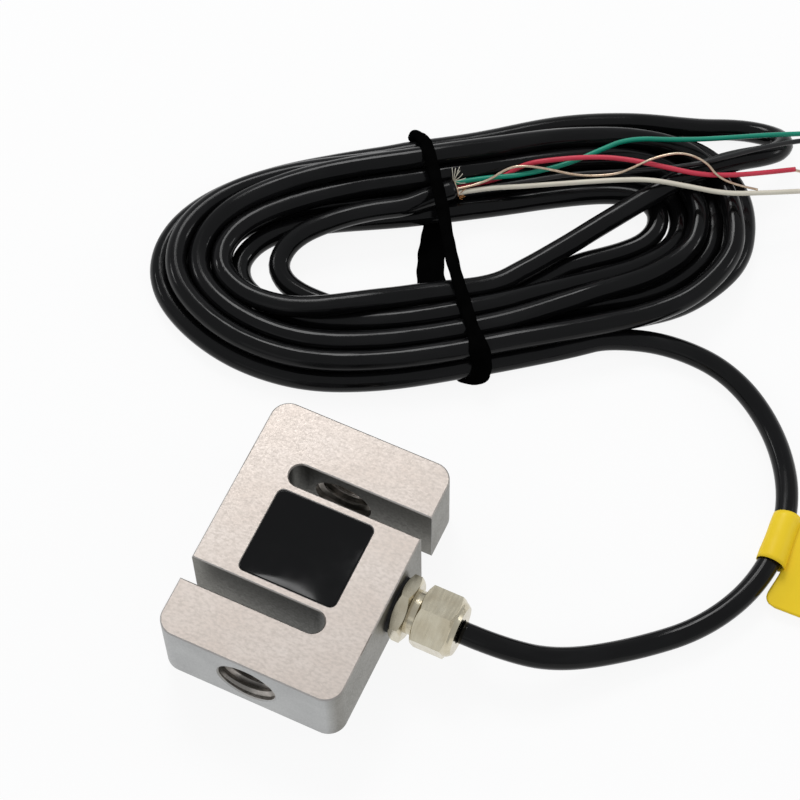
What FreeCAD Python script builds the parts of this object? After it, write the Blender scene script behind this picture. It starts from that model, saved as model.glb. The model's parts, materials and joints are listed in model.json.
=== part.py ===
import FreeCAD, Part

import math
import os

# S type load cell lying on its big face, with its cable wound into a tied hank.
# Millimetres, +Z up. The origin is the centre of the body's underside, +Y runs along the
# load axis and +X points out of the face that holds the cable gland.

V = FreeCAD.Vector
X_AXIS = V(1, 0, 0)
Y_AXIS = V(0, 1, 0)
Z_AXIS = V(0, 0, 1)

# ---- body ---------------------------------------------------------------------------
BODY_WIDTH = 50.8
BODY_LENGTH = 71.8
BODY_THICKNESS = 23.4
BODY_CORNER_RADIUS = 5.1
EDGE_CHAMFER = 0.35

SLOT_WIDTH = 6.3
SLOT_OFFSET = 17.65
SLOT_TIP = 13.4

POCKET_WIDTH = 27.0
POCKET_LENGTH = 24.6
POCKET_CORNER_RADIUS = 1.7
WEB_THICKNESS = 3.0

END_THREAD_RADIUS = 8.0
END_THREAD_CHAMFER = 0.4

# ---- potting ------------------------------------------------------------------------
POTTING_RECESS = 0.4

# ---- strain gauges, boards and resistors on the web -----------------------------------
GAUGE_LENGTH = 6.0
GAUGE_WIDTH = 4.2
GAUGE_THICKNESS = 0.15
GAUGE_X = -5.0
GAUGE_Y = 4.2

BOARD_WIDTH = 5.0
BOARD_LENGTH = 17.0
BOARD_THICKNESS = 0.8
BOARD_X = 7.5

RESISTOR_RADIUS = 0.9
RESISTOR_EDGE_RADIUS = 0.3
RESISTOR_LENGTH = 3.6
RESISTOR_LEAD_RADIUS = 0.25
RESISTOR_SPAN = 6.0
RESISTOR_STANDOFF = 0.2
RESISTOR_Y = 4.1

# The hole through the web lies this far in from the pocket's side and end walls.
WIRE_HOLE_RADIUS = 1.6
WIRE_HOLE_SIDE_INSET = 2.1
WIRE_HOLE_END_INSET = 2.7

# Wires start on a thin bed of solder and land this far in from a board's edge.
SOLDER_BED = 0.1
WIRE_LANDING = 1.0

GAUGE_WIRE_RADIUS = 0.15
GAUGE_WIRE_PITCH = 1.6
GAUGE_WIRE_START = 1.0
GAUGE_WIRE_RUN = 4.0
GAUGE_WIRE_BOW = 1.0
GAUGE_WIRE_SWAY = 0.2
GAUGE_WIRE_DROP_LENGTH = 1.5
GAUGE_WIRE_DROP_HEIGHT = 0.6

LINK_WIRE_COUNT = 4
LINK_WIRE_RADIUS = 0.25
LINK_WIRE_PITCH = 0.7
LINK_PAD_PITCH = 1.1
LINK_FIRST_PAD = 1.1
LINK_RISE = 0.9

# ---- cable gland ----------------------------------------------------------------------
GLAND_THREAD_RADIUS = 6.0
PORT_DEPTH = 9.0
PORT_END_GAP = 0.8
WIRE_CHANNEL_RADIUS = 4.0
GASKET_RADIUS = 7.6
GASKET_THICKNESS = 0.8
GLAND_HEX_WIDTH = 16.0
GLAND_HEX_THICKNESS = 3.7
GLAND_HEX_TURN = 5.0
HEX_FACE_SETBACK = 0.24
HEX_CHAMFER_ANGLE = 30.0
GLAND_NECK_GAP = 2.2
GLAND_STUB_BORE = 3.4
NECK_IN_NUT = 7.0
GROMMET_SEAT = 8.1
GROMMET_RADIUS = 4.9
WASHER_THICKNESS = 1.0
WASHER_RADIUS = 5.7
NUT_HEX_WIDTH = 15.5
NUT_LENGTH = 11.1
NUT_HEX_TURN = 12.0
NUT_NOSE_RADIUS = 6.6
NUT_NOSE_LENGTH = 1.4
NUT_SHOULDER_LENGTH = 0.55
NUT_SHOULDER_DROP = 0.2
THREAD_CLEARANCE = 0.05
CABLE_CLEARANCE = 0.3

# ---- cable ----------------------------------------------------------------------------
CABLE_RADIUS = 3.0
JACKET_END_SETBACK = 1.6
CORE_RADIUS = 0.6
CORE_CIRCLE = 1.5
CORE_TURN = 71.0
CORE_PITCH = 1.4
CORE_LIFT = 0.3
CABLE_EXIT_RUN = 10.8

# Which quarter of the cable each core lies in, in the order of the pads.
CORE_QUARTERS = {"red": 1, "black": 2, "white": 0, "green": 3}

# The free cable's chosen points, after its straight run out of the gland nut.
CABLE_ROUTE = [
    (68.0, 4.4, 7.4),
    (83.5, 16.6, 3.6),
    (99.0, 31.2, 3.4),
    (107.4, 50.4, 4.1),
    (106.0, 72.6, 4.1),
    (94.6, 90.8, 3.4),
    (77.0, 103.0, 3.0),
    (58.2, 104.4, 3.0),
    (42.0, 99.0, 3.0),
]

# ---- hank -----------------------------------------------------------------------------
HANK_CENTRE_X = -3.9
HANK_CENTRE_Y = 105.2
HANK_ANGLE = 37.0
HANK_HEIGHT = 11.6
HANK_ROUNDING = 2.6

# Outline and opening of the hank, along and across its long axis.
HANK_OUTLINE = [
    (-86.0, 5.0),
    (-77.0, -16.0),
    (-52.0, -30.5),
    (-12.0, -36.0),
    (32.0, -36.2),
    (64.0, -29.5),
    (80.0, -14.0),
    (86.0, 1.0),
    (97.0, 13.0),
    (88.0, 24.0),
    (58.0, 30.5),
    (26.0, 37.0),
    (-10.0, 38.2),
    (-50.0, 38.5),
    (-77.0, 27.0),
]
HANK_OPENING = [
    (-47.0, 2.0),
    (-36.0, 15.0),
    (-12.0, 15.5),
    (14.0, 12.0),
    (40.0, 5.0),
    (16.0, -7.0),
    (-12.0, -11.5),
    (-38.0, -9.5),
]

# One turn rides over the others along the far side, highest at the tie, as a rounded ridge.
RIDGE_HEIGHT = 17.6
RIDGE_V_INNER = 23.6
RIDGE_V_OUTER = 34.6
RIDGE_U_START = -58.0
RIDGE_CREST_START = -20.0
RIDGE_CREST_END = 4.0
RIDGE_U_END = 40.0
RIDGE_ROUNDING = 4.0
RIDGE_CREST_RADIUS = 90.0
RIDGE_END_SINK = 1.0
RIDGE_DEPTH = 7.0

# The last turn stops beside the tie, so the top layer has a step at its inner edge from there.
CABLE_END_U = 1.5
CABLE_END_V = 19.2
CABLE_END_Z = 9.0
STEP_LENGTH = 30.0
STEP_INNER_V = 3.0
STEP_OUTER_V = 22.8
STEP_Z = 6.0

# ---- tie ------------------------------------------------------------------------------
TIE_U = -6.5
TIE_WIDTH = 4.0
TIE_THICKNESS = 1.1
TIE_V_LOW = -36.6
TIE_V_HIGH = 38.6
TIE_NEAR_SIDE_Z = 6.5
TIE_NEAR_TOP_V = -31.0
TIE_FAR_TOP_V = 31.5
TIE_FAR_SIDE_Z = 6.0
TIE_CORNER_RADIUS = 4.0
TIE_KNOT_RADIUS = 2.4
TIE_KNOT_LENGTH = 4.4
TIE_KNOT_OVERHANG = 1.9
TIE_KNOT_DROP = 0.4
TIE_KNOT_ROUNDING = 0.95

# ---- label ----------------------------------------------------------------------------
LABEL_SLEEVE_BORE = 3.75
LABEL_SLEEVE_RADIUS = 4.0
LABEL_SLEEVE_LENGTH = 14.0
LABEL_FLAG_WIDTH = 24.0
LABEL_FLAG_LENGTH = 25.0
LABEL_FLAG_THICKNESS = 0.4
LABEL_FLAG_CORNER = 3.0
LABEL_NOTCH_WIDTH = 6.0

# ---- free wires at the cable's open end -------------------------------------------------
LEAD_RADIUS = 0.65
DRAIN_RADIUS = 0.35

LEAD_EXIT_RUN = 8.0

# Each free wire's chosen points, after its straight run out of the jacket's end.
LEAD_ROUTES = {
    "green_lead": [
        (1.5, 132.2, 11.4), (11.5, 139.6, 12.8), (18.0, 147.4, 13.0), (29.0, 155.8, 13.0),
        (44.5, 163.6, 13.0), (60.0, 172.4, 13.0), (75.0, 181.0, 12.0),
    ],
    "red_lead": [
        (1.0, 133.4, 14.4), (12.5, 139.8, 15.6), (24.2, 145.4, 15.7), (35.5, 148.2, 15.4),
        (46.5, 150.4, 14.8), (57.0, 155.0, 14.0), (68.0, 161.8, 12.8), (77.0, 166.8, 11.0),
    ],
    "white_lead": [
        (3.0, 128.6, 11.0), (15.5, 135.0, 12.6), (27.4, 141.6, 12.6), (38.0, 145.4, 12.6),
        (50.0, 148.6, 12.7), (62.0, 152.6, 12.4), (73.0, 159.0, 11.5), (80.0, 163.6, 10.5),
    ],
    "black_lead": [
        (2.6, 130.6, 10.9), (14.0, 137.4, 12.9), (25.5, 144.3, 12.6), (37.0, 150.6, 12.5),
        (49.0, 157.4, 12.6), (59.0, 166.2, 13.0), (68.0, 174.2, 13.0), (76.0, 178.6, 12.2),
    ],
    "drain_wire": [
        (1.5, 130.4, 13.4), (14.0, 136.8, 15.2), (26.0, 141.8, 15.2), (32.0, 147.8, 18.2),
        (41.0, 152.4, 18.6), (48.5, 151.4, 17.8), (55.0, 149.9, 15.2), (61.0, 151.6, 14.0),
    ],
}

# Where each free wire leaves the jacket's end: across the cable and up from its centre.
LEAD_OFFSETS = {
    "green_lead": (1.6, 0.6),
    "red_lead": (0.3, 1.8),
    "white_lead": (-1.6, 0.2),
    "black_lead": (0.4, -1.2),
    "drain_wire": (-0.9, 1.4),
}

# ---- places worked out from the sizes ---------------------------------------------------
MID_Z = BODY_THICKNESS / 2
FACE_X = BODY_WIDTH / 2
FACE_Y = BODY_LENGTH / 2
WEB_TOP = MID_Z + WEB_THICKNESS / 2
WEB_BOTTOM = MID_Z - WEB_THICKNESS / 2
POCKET_X = POCKET_WIDTH / 2
WIRE_HOLE_X = POCKET_X - WIRE_HOLE_SIDE_INSET
WIRE_HOLE_Y = WIRE_HOLE_END_INSET - POCKET_LENGTH / 2
PORT_X = FACE_X - PORT_DEPTH
GLAND_STUB_X = PORT_X + PORT_END_GAP
HEX_X = FACE_X + GASKET_THICKNESS
HEX_END_X = HEX_X + GLAND_HEX_THICKNESS
NUT_X = HEX_END_X + GLAND_NECK_GAP
NECK_END_X = NUT_X + NECK_IN_NUT
NOSE_X = NUT_X + NUT_LENGTH
JACKET_END_X = GLAND_STUB_X + JACKET_END_SETBACK
HANK_CENTRE = V(HANK_CENTRE_X, HANK_CENTRE_Y, 0)

# How far a cutting shape runs past what it cuts, and past the hank's sides.
OVERRUN = 1.0
HANK_OVERRUN = 8.0

# An arc takes this share of the shorter of its two runs.
ARC_REACH = 0.45


# ---- helpers ----------------------------------------------------------------------------
def box(low, high):
    size = high - low
    return Part.makeBox(size.x, size.y, size.z, low)


def rounded_box(width, length, low_z, high_z, radius):
    """Upright box about the Z axis with its four upright edges rounded."""
    block = box(V(-width / 2, -length / 2, low_z), V(width / 2, length / 2, high_z))
    return block.makeFillet(radius, upright_edges(block))


def upright_edges(shape):
    return [edge for edge in shape.Edges if is_straight_along(edge, Z_AXIS)]


def is_straight_along(edge, axis):
    if edge.Curve.TypeId != "Part::GeomLine":
        return False
    run = edge.Vertexes[-1].Point - edge.Vertexes[0].Point
    return run.cross(axis).Length < 1e-6


def flat_edges(shape, height):
    """Edges that lie in the plane at one height."""
    return [
        edge for edge in shape.Edges
        if abs(edge.BoundBox.ZMin - height) < 1e-6 and abs(edge.BoundBox.ZMax - height) < 1e-6
    ]


def x_cylinder(radius, x0, x1, y=0.0, z=MID_Z):
    return Part.makeCylinder(radius, x1 - x0, V(x0, y, z), X_AXIS)


def x_hexagon(width, x0, x1, turn):
    """Hexagonal prism along X; turn tilts one corner from +Z towards -Y, in degrees."""
    corner = width / math.sqrt(3)
    points = []
    for index in range(7):
        angle = math.radians(turn + 60 * index)
        points.append(V(x0, -corner * math.sin(angle), MID_Z + corner * math.cos(angle)))
    return Part.Face(Part.makePolygon(points)).extrude(V(x1 - x0, 0, 0))


def x_turned(profile):
    """Solid turned about the gland's axis from (x, radius) points."""
    points = [V(x, 0, MID_Z + radius) for x, radius in profile]
    face = Part.Face(Part.makePolygon(points + points[:1]))
    return face.revolve(V(0, 0, MID_Z), X_AXIS, 360)


def rounded_path(points, label=None):
    """Straight runs joined by tangent arcs, each as large as its two runs allow."""
    edges = []
    radii = []
    here = points[0]
    for before, corner, after in zip(points, points[1:], points[2:]):
        back = before - corner
        ahead = after - corner
        reach = ARC_REACH * min(back.Length, ahead.Length)
        back.normalize()
        ahead.normalize()
        half_turn = (math.pi - back.getAngle(ahead)) / 2
        radius = reach / math.tan(half_turn)
        inward = back + ahead
        inward.normalize()
        middle = corner + inward * (radius / math.cos(half_turn) - radius)
        entry = corner + back * reach
        leave = corner + ahead * reach
        edges.append(Part.LineSegment(here, entry).toShape())
        edges.append(Part.Arc(entry, middle, leave).toShape())
        radii.append(radius)
        here = leave
    edges.append(Part.LineSegment(here, points[-1]).toShape())
    path = Part.Wire(edges)
    if label:
        print(label, "length", round(path.Length, 1), "radii", [round(r, 1) for r in radii])
    return path


def tube(points, radius, label=None):
    """Round solid along a rounded path."""
    path = rounded_path(points, label)
    ring = Part.Wire(Part.makeCircle(radius, points[0], points[1] - points[0]))
    solid = path.makePipeShell([ring], True, False)
    if label:
        expected = math.pi * radius ** 2 * path.Length
        print(label, "volume over section times length", round(solid.Volume / expected, 5))
    return solid


def smooth_loop(points, low_z, height):
    """Prism whose outline is a smooth closed curve through the points."""
    curve = Part.BSplineCurve()
    curve.interpolate(Points=[V(u, v, low_z) for u, v in points], PeriodicFlag=True)
    return Part.Face(Part.Wire(curve.toShape())).extrude(V(0, 0, height))


def in_hank(shape):
    """Move a shape drawn along and across the hank's long axis to its place."""
    placed = shape.copy()
    placed.rotate(V(0, 0, 0), Z_AXIS, HANK_ANGLE)
    placed.translate(HANK_CENTRE)
    return placed


def hank_point(u, v, z):
    angle = math.radians(HANK_ANGLE)
    x = u * math.cos(angle) - v * math.sin(angle)
    y = u * math.sin(angle) + v * math.cos(angle)
    return HANK_CENTRE + V(x, y, z)


def mirrored_below(shape):
    """The same piece on the underside of the web."""
    return shape.mirror(V(0, 0, MID_Z), Z_AXIS)


# ---- body ---------------------------------------------------------------------------
def slot(side):
    """Slot that is open on one side and ends in a half round; side is +1 or -1."""
    radius = SLOT_WIDTH / 2
    tip_x = -side * (SLOT_TIP - radius)
    open_x = side * (FACE_X + OVERRUN)
    y = side * SLOT_OFFSET
    run = box(
        V(min(tip_x, open_x), y - radius, -OVERRUN),
        V(max(tip_x, open_x), y + radius, BODY_THICKNESS + OVERRUN),
    )
    end = Part.makeCylinder(radius, BODY_THICKNESS + 2 * OVERRUN, V(tip_x, y, -OVERRUN))
    return run.fuse(end).removeSplitter()


def pocket_space():
    """Front pocket, from the web up to the face."""
    return rounded_box(
        POCKET_WIDTH, POCKET_LENGTH, WEB_TOP, BODY_THICKNESS, POCKET_CORNER_RADIUS
    )


def load_cell_body():
    body = rounded_box(BODY_WIDTH, BODY_LENGTH, 0.0, BODY_THICKNESS, BODY_CORNER_RADIUS)
    body = body.cut(slot(1)).cut(slot(-1))
    body = body.cut(pocket_space()).cut(mirrored_below(pocket_space()))
    rims = flat_edges(body, 0.0) + flat_edges(body, BODY_THICKNESS)
    body = body.makeChamfer(EDGE_CHAMFER, rims)
    for side in (1, -1):
        start = V(0, side * SLOT_OFFSET, MID_Z)
        run = FACE_Y - SLOT_OFFSET + OVERRUN
        bore = Part.makeCylinder(END_THREAD_RADIUS, run, start, Y_AXIS * side)
        mouth = Part.makeCone(
            END_THREAD_RADIUS, END_THREAD_RADIUS + END_THREAD_CHAMFER, END_THREAD_CHAMFER,
            V(0, side * (FACE_Y - END_THREAD_CHAMFER), MID_Z), Y_AXIS * side,
        )
        body = body.cut(bore).cut(mouth)
    body = body.cut(x_cylinder(GLAND_THREAD_RADIUS, PORT_X, FACE_X + OVERRUN))
    body = body.cut(x_cylinder(WIRE_CHANNEL_RADIUS, POCKET_X - 2 * OVERRUN, PORT_X).cut(web()))
    hole = Part.makeCylinder(
        WIRE_HOLE_RADIUS, WEB_THICKNESS, V(WIRE_HOLE_X, WIRE_HOLE_Y, WEB_BOTTOM)
    )
    return body.cut(hole)


def web():
    """The thin web between the two pockets."""
    return rounded_box(
        POCKET_WIDTH, POCKET_LENGTH, WEB_BOTTOM, WEB_TOP, POCKET_CORNER_RADIUS
    )


# ---- pieces on the web ----------------------------------------------------------------
def gauge(side):
    """Foil gauge bonded to the web at 45 degrees; side is +1 or -1 along Y."""
    foil = box(
        V(-GAUGE_LENGTH / 2, -GAUGE_WIDTH / 2, 0),
        V(GAUGE_LENGTH / 2, GAUGE_WIDTH / 2, GAUGE_THICKNESS),
    )
    foil.rotate(V(0, 0, 0), Z_AXIS, side * 45)
    foil.translate(V(GAUGE_X, side * GAUGE_Y, WEB_TOP))
    return foil


def terminal_board():
    return box(
        V(BOARD_X - BOARD_WIDTH / 2, -BOARD_LENGTH / 2, WEB_TOP),
        V(BOARD_X + BOARD_WIDTH / 2, BOARD_LENGTH / 2, WEB_TOP + BOARD_THICKNESS),
    )


def resistor(y):
    """Axial resistor along Y on the terminal board, with its two bent legs."""
    board_top = WEB_TOP + BOARD_THICKNESS
    axis_z = board_top + RESISTOR_STANDOFF + RESISTOR_RADIUS
    barrel = Part.makeCylinder(
        RESISTOR_RADIUS, RESISTOR_LENGTH, V(BOARD_X, y - RESISTOR_LENGTH / 2, axis_z), Y_AXIS
    )
    barrel = barrel.makeFillet(RESISTOR_EDGE_RADIUS, barrel.Edges)
    half = RESISTOR_SPAN / 2
    legs = tube(
        [
            V(BOARD_X, y - half, board_top),
            V(BOARD_X, y - half, axis_z),
            V(BOARD_X, y + half, axis_z),
            V(BOARD_X, y + half, board_top),
        ],
        RESISTOR_LEAD_RADIUS,
    )
    return barrel.fuse(legs)


def gauge_leads():
    """Two fine slack wires from each gauge to the terminal board."""
    wires = []
    board_edge = BOARD_X - BOARD_WIDTH / 2
    start_x = GAUGE_X + GAUGE_WIRE_START
    gauge_z = WEB_TOP + GAUGE_THICKNESS + SOLDER_BED + GAUGE_WIRE_RADIUS
    pad_z = WEB_TOP + BOARD_THICKNESS + SOLDER_BED + GAUGE_WIRE_RADIUS
    for side in (1, -1):
        for offset in (-GAUGE_WIRE_PITCH / 2, GAUGE_WIRE_PITCH / 2):
            y = side * (GAUGE_Y + offset)
            bow = V(
                start_x + GAUGE_WIRE_RUN, y + side * GAUGE_WIRE_SWAY, gauge_z + GAUGE_WIRE_BOW
            )
            drop = V(board_edge - GAUGE_WIRE_DROP_LENGTH, y, pad_z + GAUGE_WIRE_DROP_HEIGHT)
            wires.append(tube(
                [V(start_x, y, gauge_z), bow, drop, V(board_edge + WIRE_LANDING, y, pad_z)],
                GAUGE_WIRE_RADIUS,
            ))
    return Part.makeCompound(wires)


def link_wires():
    """Wires from the back terminal board through the web's hole to the front one."""
    wires = []
    pad_x = BOARD_X + BOARD_WIDTH / 2 - WIRE_LANDING
    lift = BOARD_THICKNESS + SOLDER_BED + LINK_WIRE_RADIUS
    rise = lift + LINK_RISE
    for index in range(LINK_WIRE_COUNT):
        x = WIRE_HOLE_X + LINK_WIRE_PITCH * (index - (LINK_WIRE_COUNT - 1) / 2)
        pad_y = WIRE_HOLE_Y + LINK_FIRST_PAD + LINK_PAD_PITCH * index
        wires.append(tube(
            [
                V(pad_x, pad_y, WEB_BOTTOM - lift),
                V(x, pad_y, WEB_BOTTOM - rise),
                V(x, WIRE_HOLE_Y, WEB_BOTTOM - rise),
                V(x, WIRE_HOLE_Y, WEB_TOP + rise),
                V(x, pad_y, WEB_TOP + rise),
                V(pad_x, pad_y, WEB_TOP + lift),
            ],
            LINK_WIRE_RADIUS,
        ))
    return Part.makeCompound(wires)


def core(colour):
    """One insulated core, from the jacket's end inside the gland to its pad."""
    last = len(CORE_QUARTERS) - 1
    lane = (list(CORE_QUARTERS).index(colour) - last / 2) * CORE_PITCH
    angle = math.radians(CORE_TURN + 90 * CORE_QUARTERS[colour])
    y = CORE_CIRCLE * math.cos(angle)
    z = MID_Z + CORE_CIRCLE * math.sin(angle)
    pad_x = BOARD_X + BOARD_WIDTH / 2 - WIRE_LANDING
    pad_z = WEB_TOP + BOARD_THICKNESS + SOLDER_BED + CORE_RADIUS
    return tube(
        [
            V(JACKET_END_X, y, z),
            V(PORT_X + CORE_RADIUS, y, z),
            V(POCKET_X + CORE_LIFT, lane, WEB_TOP + CORE_RADIUS + CORE_LIFT),
            V(POCKET_X - 2 * CORE_RADIUS, lane, pad_z + CORE_LIFT),
            V(pad_x, lane, pad_z),
        ],
        CORE_RADIUS,
    )


# ---- potting --------------------------------------------------------------------------
def potting(pieces):
    """Resin that fills a front pocket up to just under the face, around what it holds."""
    fill = rounded_box(
        POCKET_WIDTH, POCKET_LENGTH, WEB_TOP, BODY_THICKNESS - POTTING_RECESS,
        POCKET_CORNER_RADIUS,
    )
    return fill.cut(pieces)


# ---- cable gland ------------------------------------------------------------------------
def chamfered_hexagon(width, x0, x1, turn):
    """Hexagonal prism along X whose corners are turned off at both ends."""
    corner = width / math.sqrt(3)
    face_radius = width / 2 - HEX_FACE_SETBACK
    slope = (corner - face_radius) * math.tan(math.radians(HEX_CHAMFER_ANGLE))
    turned = x_turned([
        (x0, 0), (x0, face_radius), (x0 + slope, corner), (x1 - slope, corner),
        (x1, face_radius), (x1, 0),
    ])
    return x_hexagon(width, x0, x1, turn).common(turned)


def gland_body():
    hexagon = chamfered_hexagon(GLAND_HEX_WIDTH, HEX_X, HEX_END_X, GLAND_HEX_TURN)
    stub = x_cylinder(GLAND_THREAD_RADIUS, GLAND_STUB_X, HEX_X)
    neck = x_cylinder(GLAND_THREAD_RADIUS, HEX_END_X, NECK_END_X)
    whole = hexagon.fuse(stub).fuse(neck)
    whole = whole.cut(x_cylinder(GLAND_STUB_BORE, GLAND_STUB_X, NECK_END_X))
    whole = whole.cut(x_cylinder(GROMMET_RADIUS, NECK_END_X - GROMMET_SEAT, NECK_END_X))
    return whole.removeSplitter()


def gland_gasket():
    ring = x_cylinder(GASKET_RADIUS, FACE_X, HEX_X)
    return ring.cut(x_cylinder(GLAND_THREAD_RADIUS, FACE_X, HEX_X))


def gland_grommet():
    x0 = NECK_END_X - GROMMET_SEAT
    return x_cylinder(GROMMET_RADIUS, x0, NECK_END_X).cut(
        x_cylinder(CABLE_RADIUS, x0, NECK_END_X)
    )


def gland_washer():
    x1 = NECK_END_X + WASHER_THICKNESS
    return x_cylinder(WASHER_RADIUS, NECK_END_X, x1).cut(
        x_cylinder(CABLE_RADIUS + CABLE_CLEARANCE, NECK_END_X, x1)
    )


def gland_nut():
    """Hexagonal dome nut over the neck, with a round nose that the cable leaves."""
    hex_end = NOSE_X - NUT_NOSE_LENGTH
    nut = chamfered_hexagon(NUT_HEX_WIDTH, NUT_X, hex_end, NUT_HEX_TURN)
    nose_start = NUT_HEX_WIDTH / 2 - HEX_FACE_SETBACK
    nose = x_turned([
        (hex_end, 0), (hex_end, nose_start),
        (hex_end + NUT_SHOULDER_LENGTH, nose_start - NUT_SHOULDER_DROP),
        (NOSE_X, NUT_NOSE_RADIUS), (NOSE_X, 0),
    ])
    inside = x_cylinder(
        GLAND_THREAD_RADIUS + THREAD_CLEARANCE, NUT_X, NECK_END_X + WASHER_THICKNESS
    )
    hole = x_cylinder(CABLE_RADIUS + CABLE_CLEARANCE, NUT_X, NOSE_X)
    return nut.fuse(nose).cut(inside).cut(hole).removeSplitter()


def cable_jacket_end():
    """The cable's jacketed end inside the gland, as far as the nut's nose."""
    return x_cylinder(CABLE_RADIUS, JACKET_END_X, NOSE_X)


# ---- free cable, hank, tie and label ------------------------------------------------------
def cable_points():
    nose = V(NOSE_X, 0, MID_Z)
    return [nose, nose + X_AXIS * CABLE_EXIT_RUN] + [V(*point) for point in CABLE_ROUTE]


def strap_block(outline, radius):
    """Prism across the hank over an outline, as wide as the tie and with rounded corners."""
    block = Part.Face(outline).extrude(X_AXIS * TIE_WIDTH)
    along = [edge for edge in block.Edges if is_straight_along(edge, X_AXIS)]
    return block.makeFillet(radius, along)


def tie_outline():
    """The strap's inner outline: the table, both sides of the hank, and over its ridge."""
    corners = [
        (TIE_V_LOW, TIE_THICKNESS),
        (TIE_V_LOW, TIE_NEAR_SIDE_Z),
        (TIE_NEAR_TOP_V, HANK_HEIGHT),
        (TIE_FAR_TOP_V, RIDGE_HEIGHT),
        (TIE_V_HIGH, TIE_FAR_SIDE_Z),
        (TIE_V_HIGH, TIE_THICKNESS),
    ]
    points = [V(TIE_U - TIE_WIDTH / 2, v, z) for v, z in corners]
    return Part.makePolygon(points + points[:1])


def tie_inside():
    """The part of the hank that the tie holds."""
    return strap_block(tie_outline(), TIE_CORNER_RADIUS - TIE_THICKNESS)


def cable_tie():
    """Flat strap pulled tight round both sides of the hank, with its knot at the top."""
    outer = tie_outline().makeOffset2D(TIE_THICKNESS, join=2)
    strap = strap_block(outer, TIE_CORNER_RADIUS).cut(tie_inside())
    knot_v = TIE_FAR_TOP_V + TIE_KNOT_OVERHANG
    knot_start = V(TIE_U - TIE_KNOT_LENGTH / 2, knot_v, RIDGE_HEIGHT - TIE_KNOT_DROP)
    knot = Part.makeCylinder(TIE_KNOT_RADIUS, TIE_KNOT_LENGTH, knot_start, X_AXIS)
    knot = knot.makeFillet(TIE_KNOT_ROUNDING, knot.Edges)
    return in_hank(strap.fuse(knot).removeSplitter())


def hank_ridge():
    """The turn that rides over the far bundle, rising to the tie and falling from it."""
    base = HANK_HEIGHT - RIDGE_DEPTH
    ends = HANK_HEIGHT - RIDGE_END_SINK
    profile = [
        (RIDGE_U_START, base),
        (RIDGE_U_START, ends),
        (RIDGE_CREST_START, RIDGE_HEIGHT),
        (RIDGE_CREST_END, RIDGE_HEIGHT),
        (RIDGE_U_END, ends),
        (RIDGE_U_END, base),
    ]
    points = [V(u, RIDGE_V_INNER, z) for u, z in profile]
    side = Part.Face(Part.makePolygon(points + points[:1]))
    ridge = side.extrude(Y_AXIS * (RIDGE_V_OUTER - RIDGE_V_INNER))
    crests = [edge for edge in flat_edges(ridge, RIDGE_HEIGHT) if is_straight_along(edge, Y_AXIS)]
    ridge = ridge.makeFillet(RIDGE_CREST_RADIUS, crests)
    return ridge.makeFillet(RIDGE_ROUNDING, long_top_edges(ridge, ends))


def long_top_edges(shape, low_z):
    """Edges that run along the hank at or above one height."""
    return [
        edge for edge in shape.Edges
        if edge.BoundBox.ZMin > low_z - OVERRUN / 2 and edge.BoundBox.YLength < OVERRUN / 2
        and edge.BoundBox.XLength > OVERRUN
    ]


def cable_coil(cable_tube, tie):
    """Outer shape of the wound hank, with its long opening and the ridge on its far side."""
    ring = smooth_loop(HANK_OUTLINE, 0.0, HANK_HEIGHT)
    ring = ring.cut(smooth_loop(HANK_OPENING, -OVERRUN, HANK_HEIGHT + 2 * OVERRUN))
    rims = flat_edges(ring, 0.0) + flat_edges(ring, HANK_HEIGHT)
    ring = ring.makeFillet(HANK_ROUNDING, rims).fuse(hank_ridge())
    step = box(
        V(CABLE_END_U, STEP_INNER_V, STEP_Z),
        V(CABLE_END_U + STEP_LENGTH, STEP_OUTER_V, HANK_HEIGHT + OVERRUN),
    )
    waist = box(
        V(TIE_U - TIE_WIDTH / 2, TIE_V_LOW - HANK_OVERRUN, -OVERRUN),
        V(TIE_U + TIE_WIDTH / 2, TIE_V_HIGH + HANK_OVERRUN, RIDGE_HEIGHT + OVERRUN),
    )
    ring = in_hank(ring.cut(step).cut(waist.cut(tie_inside())))
    return ring.cut(cable_tube).cut(tie)


def label_frame(shape, points):
    """Move a label drawn along Y about the origin to the cable's sixth run."""
    start, end = points[5], points[6]
    middle = (start + end) * 0.5
    placed = shape.copy()
    angle = math.degrees(math.atan2(-(end.x - start.x), end.y - start.y))
    placed.rotate(V(0, 0, 0), Z_AXIS, angle)
    placed.translate(V(middle.x, middle.y, middle.z))
    return placed


def cable_label(points):
    """Blank marker: a loose sleeve around the cable with a flat flag on its outer side."""
    half = LABEL_SLEEVE_LENGTH / 2
    sleeve = Part.makeCylinder(LABEL_SLEEVE_RADIUS, LABEL_SLEEVE_LENGTH, V(0, -half, 0), Y_AXIS)
    flag = box(
        V(0, half - LABEL_FLAG_LENGTH, -LABEL_FLAG_THICKNESS / 2),
        V(LABEL_FLAG_WIDTH, half, LABEL_FLAG_THICKNESS / 2),
    )
    gap = box(
        V(-OVERRUN, half - LABEL_FLAG_LENGTH - OVERRUN, -OVERRUN),
        V(LABEL_NOTCH_WIDTH, -half, OVERRUN),
    )
    flag = flag.makeFillet(LABEL_FLAG_CORNER, upright_edges(flag)[2:]).cut(gap)
    bore = Part.makeCylinder(LABEL_SLEEVE_BORE, LABEL_SLEEVE_LENGTH, V(0, -half, 0), Y_AXIS)
    return label_frame(sleeve.fuse(flag).cut(bore).removeSplitter(), points)


def lead_points(name):
    """A free wire's route, from the jacket's end face at the end of the last turn."""
    across, up = LEAD_OFFSETS[name]
    exits = [
        hank_point(CABLE_END_U + run, CABLE_END_V + across, CABLE_END_Z + up)
        for run in (0.0, LEAD_EXIT_RUN)
    ]
    return exits + [V(*point) for point in LEAD_ROUTES[name]]


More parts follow.
